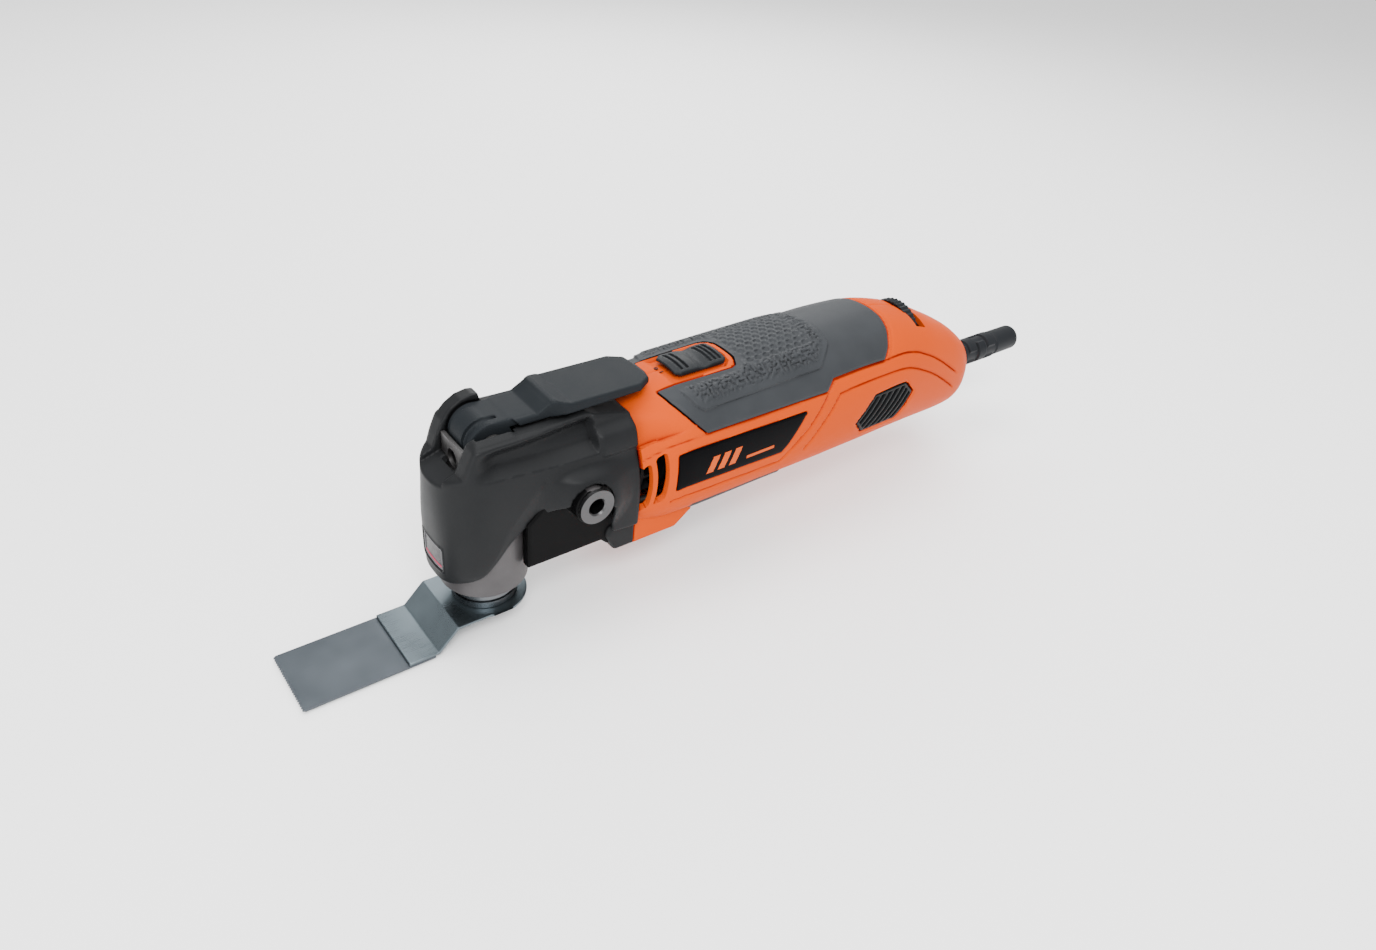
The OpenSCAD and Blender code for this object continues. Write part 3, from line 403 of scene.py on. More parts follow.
def surface_of(field, low, high, cell):
    """Points and faces of the closed surface where field(x, y, z) is zero.

    Each cell that the surface crosses has one point, the mean of the crossings on its edges. Two steps along
    the field's slope then bring the points onto the surface, and each crossed grid edge gives one face.
    """
    axes = [np.arange(a - 1.5 * cell, b + 2.5 * cell, cell) for a, b in zip(low, high)]
    value = field(axes[0][:, None, None], axes[1][None, :, None], axes[2][None, None, :])
    value = np.broadcast_to(value, [len(a) for a in axes])
    solid = value < 0
    steps = [(i, j, k) for i in (0, 1) for j in (0, 1) for k in (0, 1)]
    cells_along = [n - 1 for n in solid.shape]
    count = sum(solid[tuple(slice(d, d + n) for d, n in zip(s, cells_along))].astype(int) for s in steps)
    cells = np.argwhere((count > 0) & (count < 8))
    index = np.full(count.shape, -1)
    index[tuple(cells.T)] = np.arange(len(cells))
    corner = {s: value[tuple((cells + s).T)] for s in steps}
    total, hits = np.zeros((len(cells), 3)), np.zeros(len(cells))
    for a in steps:
        for axis in range(3):
            if a[axis]:
                continue
            b = tuple(v + (n == axis) for n, v in enumerate(a))
            crossed = (corner[a] < 0) != (corner[b] < 0)
            t = corner[a][crossed] / (corner[a][crossed] - corner[b][crossed])
            total[crossed] += np.array(a) + t[:, None] * (np.array(b) - np.array(a))
            hits[crossed] += 1
    points = np.array([a[0] for a in axes]) + cell * (cells + total / hits[:, None])

    def at(p):
        return np.broadcast_to(field(p[:, 0], p[:, 1], p[:, 2]), len(p))

    for _ in range(2):
        here = at(points)
        push = 0.05 * cell
        slope = np.stack([(at(points + push * e) - at(points - push * e)) / (2 * push) for e in np.eye(3)], 1)
        move = -here[:, None] * slope / np.maximum((slope**2).sum(1), 0.3)[:, None]
        length = np.linalg.norm(move, axis=1)
        points += move * np.minimum(1, 0.5 * cell / np.maximum(length, 1e-9))[:, None]
    faces = []
    for axis in range(3):
        one, two = [n for n in range(3) if n != axis]
        here = solid.take(range(solid.shape[axis] - 1), axis)
        there = solid.take(range(1, solid.shape[axis]), axis)
        edges = np.argwhere(here != there)
        edges = edges[(edges[:, one] > 0) & (edges[:, two] > 0)]
        ring = []
        for d1, d2 in ((0, 0), (1, 0), (1, 1), (0, 1)):
            c = edges.copy()
            c[:, one] -= d1
            c[:, two] -= d2
            ok = (c[:, one] < index.shape[one]) & (c[:, two] < index.shape[two])
            ring.append(np.where(ok, index[tuple(np.minimum(c, np.array(index.shape) - 1).T)], -1))
        faces.append(np.stack(ring, 1))
    faces = np.concatenate(faces)
    return points, faces[(faces >= 0).all(1)]


def add_solid(name, field, low, high, cell, slot, **more):
    """A piece made from a field, with this much room around it and this cell size."""
    points, faces = surface_of(field, low, high, cell)
    return add_piece(name, points, faces, slot, **more)


# ---------------------------------------------------------------- the housing's surface

# Sections from front to rear: x, half width, top, bottom
HOUSING = [
    (58, 25.5, 74, 15.4), (64, 27.8, 76.4, 15.2), (72, 30, 78.6, 15.2), (80, 31, 79.4, 15.4),
    (98, 31.6, 79.8, 16), (129, 31.8, 80.4, 16.8), (154, 31.6, 81, 16.8), (176, 31.2, 81.8, 17),
    (196, 30.2, 81.4, 17), (221, 27.4, 76.2, 16.2), (245, 24, 65.6, 15.2), (256, 21.5, 59.6, 15),
    (262.5, 18.9, 55, 16), (267, 16, 51.4, 18.2), (270, 12.8, 48, 21.2), (271.5, 9.9, 44.8, 24.1),
    (272, 7.8, 42, 26.4),
]
SQUARENESS = 2.35
FRONT_X, REAR_X = 58, 272
WALL = 2.6


def section_point(x, angle, inset):
    """Half width and height of the surface. The angle is a quarter turn at the top and 0 at mid height."""
    w, top, low = (along(HOUSING, c, x) for c in (1, 2, 3))
    w, top, low = w - inset, top - inset, low + inset
    power = 2 / SQUARENESS
    c, s = np.cos(angle), np.sin(angle)
    return w * np.abs(c) ** power, (top + low) / 2 + (top - low) / 2 * np.sign(s) * np.abs(s) ** power


class ArcTable:
    """Turns arc length from the top centre line into the section's angle, and back."""

    rows_per_mm = 2
    angle_count = 721  # from the top to the bottom, with the middle one level

    def __init__(self):
        self.x = np.arange(FRONT_X, REAR_X + 0.2, 1 / self.rows_per_mm)
        self.angles = np.radians(np.linspace(90, -90, self.angle_count))
        y, z = section_point(self.x[:, None], self.angles[None, :], 0)
        step = np.hypot(np.diff(y, axis=1), np.diff(z, axis=1))
        self.length = np.concatenate([np.zeros((len(self.x), 1)), np.cumsum(step, 1)], 1)
        self.shares = np.linspace(0, 1, 401)
        self.angle_at = np.stack([np.interp(self.shares * row[-1], row, self.angles) for row in self.length])

    def half(self, x):
        """Arc length from the top to the bottom."""
        return np.interp(x, self.x, self.length[:, -1])

    def angle(self, x, s):
        share = np.clip(np.abs(s) / self.half(x), 0, 1)
        i = np.clip((x - self.x[0]) * self.rows_per_mm, 0, len(self.x) - 1.001)
        j = share * (len(self.shares) - 1.001)
        i0, j0 = i.astype(int), j.astype(int)
        a, b = i - i0, j - j0
        t = self.angle_at
        return ((1 - a) * ((1 - b) * t[i0, j0] + b * t[i0, j0 + 1])
                + a * ((1 - b) * t[i0 + 1, j0] + b * t[i0 + 1, j0 + 1]))

    def row(self, x):
        """Arc lengths of the section nearest to x."""
        return self.length[int(round(self.rows_per_mm * (min(max(x, FRONT_X), REAR_X) - FRONT_X)))]

    def at_height(self, x, z):
        """Arc length to height z on the flank."""
        _, heights = section_point(np.full(self.angle_count, float(x)), self.angles, 0)
        return float(np.interp(-z, -heights, self.row(x)))

    def at_width(self, x, y):
        """Arc length to half width y on the top."""
        upper = self.angle_count // 2 + 1
        widths, _ = section_point(np.full(upper, float(x)), self.angles[:upper], 0)
        return float(np.interp(y, widths, self.row(x)[:upper]))


ARC = ArcTable()


def flank(points):
    """Outline points given as x and height, as x and arc length."""
    return [(x, ARC.at_height(x, z)) for x, z in points]


def place(x, s, inset):
    """Points of the surface, moved inwards by inset."""
    y, z = section_point(x, ARC.angle(x, s), inset)
    return np.stack([x, np.where(s < 0, -y, y), z], -1)


def snap(x, s, field, reach):
    """Moves the grid points that are near a field's zero line onto it."""
    here = field(x, s)
    e = 0.05
    gx = (field(x + e, s) - field(x - e, s)) / (2 * e)
    gs = (field(x, s + e) - field(x, s - e)) / (2 * e)
    size = np.maximum(gx * gx + gs * gs, 0.2)
    near = np.abs(here) < reach
    return np.where(near, x - here * gx / size, x), np.where(near, s - here * gs / size, s)


def cell_middles(grid):
    return (grid[:-1, :-1] + grid[1:, 1:] + grid[1:, :-1] + grid[:-1, 1:]) / 4


def shell_faces(keep):
    """Faces of a closed shell: the outer grid, the inner grid and a wall along every open edge."""
    n, m = keep.shape[0] + 1, keep.shape[1] + 1
    corner = np.arange(n * m).reshape(n, m)
    quads = np.stack([corner[:-1, :-1], corner[1:, :-1], corner[1:, 1:], corner[:-1, 1:]], -1)
    outer = quads[keep]
    inner = outer[:, ::-1] + n * m
    padded = np.pad(keep, 1)
    walls = []
    for shift, a, b in (((-1, 0), 0, 3), ((1, 0), 2, 1), ((0, -1), 1, 0), ((0, 1), 3, 2)):
        beside = padded[1 + shift[0]:n + shift[0], 1 + shift[1]:m + shift[1]]
        edge = quads[keep & ~beside]
        walls.append(np.stack([edge[:, a], edge[:, b], edge[:, b] + n * m, edge[:, a] + n * m], 1))
    return np.concatenate([outer, inner, *walls])


def add_patch(name, x, s, inside, outer, inner, slot, snaps=(), reach=0.4, end_rows=None, **more):
    """A shell over the part of the surface where inside(x, s) is negative, between two insets."""
    for field in snaps:
        x, s = snap(x, s, field, reach)
    keep = inside(cell_middles(x), cell_middles(s)) < 0
    top, under = place(x, s, outer(x, s)), place(x, s, inner(x, s))
    if end_rows:
        top, under = end_rows(top, under)
        keep = np.concatenate([keep, np.ones((len(top) - 1 - len(keep), keep.shape[1]), bool)])
    points = np.concatenate([top.reshape(-1, 3), under.reshape(-1, 3)])
    faces = shell_faces(keep)
    used, faces = np.unique(faces, return_inverse=True)
    return add_piece(name, points[used], faces.reshape(-1, 4), slot, **more)


# ---------------------------------------------------------------- features on the housing

# Outlines and lines on one side, as x and arc length. Heights and widths are turned into arc length.
GRIP_OUTLINE = (
    [(73.1, ARC.at_width(73.2, 11.6)), (75.3, ARC.at_width(75.3, 17.5))]
    + flank([(78.3, 72), (82, 68), (86.4, 63.6), (151.3, 64.2), (155.6, 68.6), (188.1, 68.8), (191.8, 72.5)])
    + [(196, ARC.at_width(196, 16.8)), (198, ARC.at_width(198, 9.4)), (198.6, -3)]
    + [(115.2, -3), (115, ARC.at_width(115, 7)), (112.6, ARC.at_width(112, 11.6)),
       (109.5, ARC.at_width(109, 12.6))]
)
LABEL_OUTLINE = flank([(72.8, 56.8), (138.4, 58.1), (129.7, 46), (126.4, 42.5), (72.4, 41)])
# The raised pad on the grip, around the textured part
PAD_OUTLINE = ([(79, ARC.at_width(79, 9)), (81.6, ARC.at_width(81.6, 17.3))]
               + flank([(84.2, 72.6), (87, 70.9), (150, 72.8)])
               + [(160, ARC.at_width(160, 16)), (163, -3), (79, -3)])
BELLY_OUTLINE = flank([(85, 26.4), (134, 26.4)]) + [(134, 130), (85, 130)]
BEZEL = [(60, -10.6), (108, -10.6), (111.2, -8), (111.9, -3), (111.9, 3), (111.2, 8), (108, 10.6), (60, 10.6)]
# The dip behind the head cover, from its crisp lower edge to its soft upper one
DIP_LOW = flank([(54, 60.6), (58.1, 61.1), (62.2, 63), (68.3, 64.2), (74.8, 65.4), (83.4, 66.6)])
DIP_TOP = [DIP_LOW[-1], (78.6, ARC.at_height(78.6, 68.6)), (75, ARC.at_height(75, 71.2)),
           (71, ARC.at_height(71, 73)), (64.5, ARC.at_width(64.5, 14.6)), (54, ARC.at_width(58, 6))]
UPPER_LINE = flank([(58, 56.3), (67.8, 60.9), (81, 62.4), (136, 62.9)])
FRAME_LINE = flank([(70.6, 34.5), (127, 36.1), (131.5, 40.6), (141.4, 49.5), (156.2, 67.7), (191.3, 68),
                    (204.2, 67.5), (213.3, 65.1), (250.4, 42.4)])
GRIP_SHADOW = flank([(191.5, 68.2), (195, 72.6)]) + [
    (198.6, ARC.at_width(198, 17.5)), (201, ARC.at_width(200, 9.6)), (201.8, 0)]
TAIL_LINE = flank([(141, 38.4), (144.3, 42.4), (159.1, 61.1), (198.8, 61.5), (205.9, 60.2), (213.5, 57.2),
                   (249.3, 34.7)])
VENT = [(182.2, 53.8), (204.3, 53.6), (211.5, 46.5), (203.8, 32.4), (179.5, 33.3), (172.7, 41)]
VENT_OUTLINE = flank(VENT)
SLOT_MIDDLE = ARC.at_height(64, 46.6)
SLOTS = [(59, 2.8, 10.8), (65.9, 2.3, 11.4)]  # x, half width, half length
DIAL_SLOT_X = middle("speed_dial").x + np.array([-3.4, 3.6])


def grip_field(x, s):
    return polygon_field(x, np.abs(s), GRIP_OUTLINE) - 0.3


def label_field(x, s):
    return polygon_field(x, np.abs(s), LABEL_OUTLINE) - 0.4


def belly_field(x, s):
    return polygon_field(x, np.abs(s), BELLY_OUTLINE) - 0.4


def vent_field(x, s):
    return polygon_field(x, np.abs(s), VENT_OUTLINE) - 0.3


def slots_field(x, s):
    v = np.abs(s) - SLOT_MIDDLE
    bow = 0.8 * (v / 11) ** 2
    return joined(*(both(np.abs(x + bow - c) - w, np.abs(v) - h, 1.6) for c, w, h in SLOTS))


def dial_slot_field(x, s):
    return common(slab(x, *DIAL_SLOT_X), np.abs(s) - 16.6)


def bezel_field(x, s):
    return polygon_field(x, s, BEZEL)


def dip_field(x, s):
    return polygon_field(x, np.abs(s), DIP_LOW + DIP_TOP[1:])


def groove(distance, width, depth):
    """Depth of a V-shaped groove of this half width."""
    return depth * np.maximum(0, 1 - distance / width)


# The lines on the housing, as line, half width and depth, and its recesses, as field and depth
GROOVES = [(FRAME_LINE, 0.75, 1.0), (TAIL_LINE, 0.75, 0.9), (UPPER_LINE, 0.75, 0.7), (GRIP_SHADOW, 0.8, 0.5)]
RECESSES = [(grip_field, 1.5), (label_field, 0.55), (belly_field, 1.2)]
DIP_DEPTH = 4.2


def housing_inset(x, s):
    """How far the housing's outer face lies under the smooth surface."""
    a = np.abs(s)
    lines = sum(groove(line_distance(x, a, line), width, depth) for line, width, depth in GROOVES)
    grip_rim = groove(np.abs(grip_field(x, s) - 0.45), 0.7, 0.7)
    recess = sum(depth * (field(x, s) < 0.02) for field, depth in RECESSES)
    dip = (dip_field(x, s) < 0) * smooth(0, 0.6, line_distance(x, a, DIP_LOW)) * DIP_DEPTH * (
        1 - np.exp(-(line_distance(x, a, DIP_TOP) / 9.5) ** 2.4))
    bezel = bezel_field(x, s)
    frame_lip = (1.6 * smooth(79, 84, x) * smooth(0.1, -0.35, bezel)
                 - 1.4 * smooth(73, 77, x) * (1 - smooth(0.7, 1.1, np.abs(bezel - 1.0))))
    vent_rim = 0.5 * (1 - smooth(0, 1.4, vent_field(x, s)))
    seam = groove(a, 0.5, 0.3)
    ahead_of_tail = smooth(252, 246, x)
    return np.maximum(lines * ahead_of_tail + grip_rim + dip + frame_lip + vent_rim + seam, recess)


def round_the_cord_hole(top, under):
    """Closes the rear end of a half down to the strain relief's hole."""
    hole_r, hole_z = 7.15, middle("strain_relief").z
    rows = []
    for ring, x in ((top[-1], REAR_X), (under[-1], REAR_X - 0.7)):
        angle = np.arctan2(ring[:, 2] - hole_z, ring[:, 1])
        hole = np.stack([np.full(len(ring), x), hole_r * np.cos(angle), hole_z + hole_r * np.sin(angle)], 1)
        rows.append(np.stack([ring * 0.5 + hole * 0.5, hole]))
    rows[0][:, :, 0] += 0.12
    return np.concatenate([top, rows[0]]), np.concatenate([under, rows[1]])


def add_housing_half(side, name):
    """One orange half, on a grid whose lines draw together towards the rounded rear end."""
    x_lines = np.concatenate([np.arange(FRONT_X, 72, 0.5), np.linspace(72, REAR_X - 10, 252)[:-1],
                              REAR_X - 10 * np.linspace(1, 0, 34) ** 1.6])
    shares = np.linspace(0, 1, 142)
    x = np.repeat(x_lines[:, None], len(shares), 1)
    s = side * shares[None, :] * ARC.half(x)
    snaps = [grip_field, label_field, vent_field, slots_field, dial_slot_field, bezel_field, dip_field,
             lambda x, s: line_distance(x, np.abs(s), FRAME_LINE),
             lambda x, s: line_distance(x, np.abs(s), TAIL_LINE)]

    def solid_part(x, s):
        return -joined(vent_field(x, s), slots_field(x, s), dial_slot_field(x, s))

    def inner(x, s):
        return np.maximum(housing_inset(x, s) + 0.6, np.interp(x, [256, REAR_X], [WALL, 0.5]))

    add_patch(name, x, s, solid_part, housing_inset, inner, "orange_shell", snaps,
              end_rows=round_the_cord_hole, replaces=[name], crease=32)


def leather(x, s):
    """Height from 0 to 1 of the short raised worms on the grip, which leave room for the rows of hexagons."""
    draw = np.random.default_rng(7)
    tile = 64
    jitter = draw.random((tile, tile, 2))
    turn = draw.random((tile, tile)) * math.pi
    pitch = 2.15
    u, v = x / pitch, s / pitch * 1.05
    best = np.full(np.shape(x), 9.0)
    for du in (-1, 0, 1):
        for dv in (-1, 0, 1):
            i, j = np.floor(u).astype(int) + du, np.floor(v).astype(int) + dv
            cell = (i % tile, j % tile)
            mid_u, mid_v = i + 0.2 + 0.6 * jitter[cell][..., 0], j + 0.2 + 0.6 * jitter[cell][..., 1]
            cos, sin = np.cos(turn[cell]), np.sin(turn[cell])
            p, q = (u - mid_u) * cos + (v - mid_v) * sin, (v - mid_v) * cos - (u - mid_u) * sin
            best = np.minimum(best, np.hypot(np.maximum(np.abs(p) - 0.3, 0), q + 0.35 * p * p))
    off_the_hexagons = smooth(12, 15.5, np.abs(s)) + smooth(117, 113, x) + smooth(149, 156, x)
    return smooth(0.4, 0.22, best) * np.minimum(off_the_hexagons, 1)


def dimples(x, s):
    """Depth from 0 to 1 of the rows of shallow hexagons along the grip's top."""
    best = np.full(np.shape(x), 9.0)
    pitch_x, pitch_s = 4.4, 6.2
    for shift in (0, 0.5):
        u = (x / pitch_x + shift) % 1 * pitch_x - pitch_x / 2
        v = (s / pitch_s + shift) % 1 * pitch_s - pitch_s / 2
        best = np.minimum(best, np.maximum(np.abs(v), 0.5 * np.abs(v) + 0.866 * np.abs(u)))
    return smooth(1.65, 1.15, best) * smooth(14.5, 12.5, np.abs(s)) * smooth(156, 148, x)


def grip_height(x, s):
    """How far the top grip's outer face stands above the smooth surface."""
    edge = -grip_field(x, s)
    a = np.abs(s)
    far = smooth(3, 8, bezel_field(x, s))
    pad = smooth(0, 1.2, edge) * (0.05 + 0.45 * far) - 0.15
    contour = polygon_field(x, a, PAD_OUTLINE)
    raised = 0.9 * smooth(0.3, -0.3, contour) * (0.3 + 0.7 * far)
    texture = 0.55 * leather(x, s) * smooth(-1.5, -4.5, contour) * smooth(2.2, 4.5, bezel_field(x, s))
    return pad + raised + texture * smooth(1.5, 3.5, edge) - 0.6 * dimples(x, s) * smooth(115, 119, x)


def add_grips():
    """The rubber saddle on the top and flanks, and the strip underneath, in two halves."""
    step = 0.42
    x_lines = np.arange(72.4, 200, step)
    reach = ARC.at_height(120, 62.5)
    s_lines = np.arange(-reach, reach + step, step)
    x, s = np.meshgrid(x_lines, s_lines, indexing="ij")
    add_patch("grip_top", x, s, grip_field, lambda x, s: -grip_height(x, s), lambda x, s: 1.3,
              "grip_rubber", [grip_field], replaces=["grip_saddle"])
    low, seam = ARC.at_height(110, 27.6), ARC.half(110.0)
    for side, name in ((-1, "grip_under_left"), (1, "grip_under_right")):
        x, s = np.meshgrid(np.arange(84, 135.5, 0.8), side * np.linspace(low, seam, 52), indexing="ij")
        s = np.where(np.abs(s) >= seam - 0.01, side * ARC.half(x), s)
        add_patch(name, x, s, belly_field, lambda x, s: -0.55 * smooth(0, 1.5, -belly_field(x, s)) + 0.1,
                  lambda x, s: 1.1, "grip_rubber", [belly_field], replaces=["grip_belly"] if side < 0 else ())


def add_labels():
    """Black name plates that carry three plain slanted bars and a rule."""
    upper, centre, lower = (ARC.at_height(100, z) for z in (60.5, 49.5, 38.5))

    def bars(x, s):
        v = centre - np.abs(s)
        slanted = joined(*(slab(x - 0.45 * v, c - 1.7, c + 1.7) for c in (88.5, 94.2, 99.9)))
        marks = common(slanted, np.abs(v) - 3.6)
        rule = common(slab(x, 106, 121), np.abs(v + 2.8) - 0.7)
        return joined(marks, rule)

    def plate_face(x, s):
        return -0.16 * smooth(0, 0.7, -label_field(x, s))

    for side, end in ((-1, "left"), (1, "right")):
        x, s = np.meshgrid(np.arange(71, 141, 0.6), side * np.arange(upper, lower, 0.6), indexing="ij")
        add_patch(f"name_plate_{end}", x, s, label_field, plate_face, lambda x, s: 0.5, "label_black",
                  [label_field], replaces=[f"label_{end}"])
        across = side * (centre + np.arange(-4.5, 4.5, 0.3))
        x, s = np.meshgrid(np.arange(84, 123, 0.3), across, indexing="ij")
        add_patch(f"plate_mark_{end}", x, s, bars, lambda x, s: -0.22, lambda x, s: -0.1, "label_black",
                  [bars], reach=0.16, material="label_mark")


def add_switch_marks():
    """A small bar and a small ring in front of the switch."""
    x, s = np.meshgrid(np.arange(78, 83.5, 0.12), np.arange(-5, 5, 0.12), indexing="ij")
    for name, field in (("mark_bar", lambda x, s: common(np.abs(x - 80.8) - 0.8, np.abs(s + 2.1) - 0.24)),
                        ("mark_ring", lambda x, s: np.abs(disc(x, s, 0.7, 80.4, 1.2)) - 0.2)):
        add_patch(name, x, s, field, lambda x, s: -0.16, lambda x, s: 0.12, "trim_black", [field], reach=0.08)


def add_vent_grilles():
    """Louvred grilles that lie in the hexagonal vents on both flanks."""
    centre = np.array([192.3, 43.4])
    outline = [tuple((np.array(p) - centre) * 0.965) for p in VENT]
    pitch, set_back = 4.7, 0.6

    def field(u, v, w):
        body = both(polygon_field(u, w, outline), slab(v, -0.1, 3.4), 0.6)
        lean = u - 0.55 * w - 0.9 * np.sin(w / 7.5)
        k = np.clip(np.round(lean / pitch), -3, 3)
        channel = np.abs(lean - k * pitch) - 1.5
        cut = both(both(channel, polygon_field(u, w, outline) + 1.3, 0.5), v - 2.6, 0.3)
        return without(body, cut, 0.5)

    points, faces = surface_of(field, (-21, -0.5, -12), (21, 3.7, 12), 0.36)
    tilt = math.radians(4)
    x = centre[0] + points[:, 0] * math.cos(tilt) - points[:, 1] * math.sin(tilt)
    z = centre[1] + points[:, 2]
    y = half_width_at(x, z) - set_back - points[:, 1]
    for side, end in ((-1, "left"), (1, "right")):
        add_piece(f"louvres_{end}", np.stack([x, side * y, z], 1), faces, "trim_black",
                  replaces=[f"vent_grille_{end}"])


def half_width_at(x, z):
    """Half width of the housing's surface at x and height z."""
    w, top, low = (along(HOUSING, c, x) for c in (1, 2, 3))
    share = np.clip(np.abs(z - (top + low) / 2) / ((top - low) / 2), 0, 1)
    return w * (1 - share**SQUARENESS) ** (1 / SQUARENESS)


def add_foot():
    """The orange block under the housing's front end."""
    outline = [(58, 13.4), (79.5, 13.4), (88, 20), (88, 26), (58, 26)]

    def field(x, y, z):
        block = both(polygon_field(x, z, outline), np.abs(y) - 21.5, 1.6)
        return without(block, common(np.abs(y) - 19.4, 16 - z), 0.3)

    add_solid("housing_foot", field, (58, -21.5, 13.4), (88, 21.5, 26), 0.6, "orange_shell", crease=45)


def add_boot():
    """Strain relief with four rings of raised pads and a plain sleeve at its end."""
    axis_z = middle("strain_relief").z
    start, end = 266.3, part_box("strain_relief")[1].x / MM - 0.05
    x = np.linspace(start, end, 190)
    angle = np.linspace(0, 2 * math.pi, 121)[:-1]
    u, a = np.meshgrid(x, angle, indexing="ij")
    body = np.interp(u, [start, 276, 300, end], [6.5, 5.9, 6.0, 5.9])
    first_ring, ring_pitch, pad_height = 278.3, 7.3, 0.95
    pads = 0
    for ring in range(4):
        across = smooth(3.25, 2.6, np.abs(u - first_ring - ring_pitch * ring))
        gaps = smooth(-0.8, -0.45, np.cos(2 * a + ring * math.pi))
        pads = pads + pad_height * across * gaps
    sleeve = 0.55 * smooth(304.5, 305.6, u)
    tip_length = 2.2
    tip = 1.7 * (1 - np.sqrt(np.clip(1 - np.clip((u - (end - tip_length)) / tip_length, 0, 1) ** 2, 0, 1)))
    r = body + pads + sleeve - tip
    bore = 3.6
    outer = np.stack([u, r * np.cos(a), axis_z + r * np.sin(a)], -1)
    inner = np.stack([u, bore * np.cos(a), axis_z + bore * np.sin(a)], -1)
    n, m = u.shape
    corner = np.arange(n * m).reshape(n, m)
    after = np.roll(corner, -1, 1)
    skin = np.stack([corner[:-1], corner[1:], after[1:], after[:-1]], -1).reshape(-1, 4)
    ends = [np.stack([corner[k], after[k], after[k] + n * m, corner[k] + n * m], 1) for k in (0, -1)]
    add_piece("cord_boot", np.concatenate([outer.reshape(-1, 3), inner.reshape(-1, 3)]),
              np.concatenate([skin, skin[:, ::-1] + n * m, *ends]), "boot_rubber", replaces=["strain_relief"],
              crease=30)


# ---------------------------------------------------------------- the head

# The cover's half width at the spindle and at its rear edge, as height and half width
WIDTH_FRONT = [(10, 15.5), (20, 17.9), (24, 19.5), (30, 20.1), (42, 20.3), (55, 20.4), (64.5, 20), (70, 19.2),
               (77, 18.3), (82, 16.4), (90, 15)]
WIDTH_REAR = [(10, 21), (15.4, 22.4), (22, 24.6), (30, 25.2), (42, 25.4), (53.6, 23.8), (60, 21.4),
              (66, 20.5), (70, 19), (74, 15), (90, 14)]
COVER_REAR_X = 57.7
COVER_SIDE = [(-23, 10), (-23, 63.5), (-18.6, 66), (-14.2, 67.6), (-12.4, 72), (-9.6, 78), (-6.2, 82),
              (-1.8, 84.7), (3, 85.6), (5.4, 85.1), (6.2, 82.2), (8.6, 79.6), (26, 79.3), (39, 78.8),
              (44, 77.2), (COVER_REAR_X, 74), (COVER_REAR_X, 10)]
# The cover's lower edge, and the top of the bevel above it
COVER_LOWER_EDGE = [(-30, 17.4), (-21, 17.6), (-16, 19.4), (-12, 20.4), (-9.6, 21.6), (-7.2, 23.6),
                    (-5, 26.3), (2.4, 34.6), (12, 40.8), (18, 44.2), (25, 46.8), (31, 48), (38, 47), (43, 43),
                    (45.5, 27), (60, 26)]
BEVEL_TOP = [(-10.5, 20), (-9.6, 23), (-2.9, 33.9), (1.7, 42.5), (9.9, 52.8), (16.1, 60.3), (22.9, 61.8),
             (40, 61.5)]
NOSE_X = -21.3
COVER_WALL = 1.9
NOSE_TOP = 62.1
PIN = middle("lever_pin")
MOTOR_Z = middle("motor_shaft").z
RING = middle("handle_insert_left")


def cover_edge_field(x, z):
    """Negative below the cover's lower edge."""
    return polygon_field(x, z, COVER_LOWER_EDGE + [(60, -20), (-30, -20)])


def cover_width(x, z):
    """The cover's half width, with the channels beside the lever and the flares round the steel rings."""
    t = smooth(4, 52, x)
    base = along(WIDTH_FRONT, 1, z) * (1 - t) + along(WIDTH_REAR, 1, z) * t
    ridge = 66.4 - 2 * smooth(-8, 30, x)
    channel_along = smooth(-12, 0, x) * np.clip((40.6 - x) / 1.4, 0, 1)
    channel = 5.4 * channel_along * np.clip((z - ridge) / 3.4, 0, 1) * (1 - 0.8 * smooth(72.5, 79, z))
    channel = channel * (1 - smooth(79.2, 80, z))
    shoulder = 0.9 * smooth(40.5, 42.5, x) * smooth(61.5, 63.5, z) * (1 - smooth(70, 75, z))
    below = -polygon_field(x, z, BEVEL_TOP + [(40, 0), (-10.5, 0)])
    bevel = 0.24 * np.maximum(0, below) * smooth(31, 20, x)
    flare = 4.4 * smooth(21, 8.7, np.hypot(x - RING.x, z - RING.z)) * smooth(62, 57, z)
    return base - channel + shoulder - bevel + flare


def cover_outside(x, y, z):
    """Distance outside the cover's plan outline, which is squarer around the work light than above it."""
    width = cover_width(x, z)
    power = 2.75 - 0.55 * smooth(38, 62, z)
    ahead = np.maximum(np.minimum(x, 0) / NOSE_X, 0)
    return ((ahead**power + (np.abs(y) / width) ** power) ** (1 / power) - 1) * width


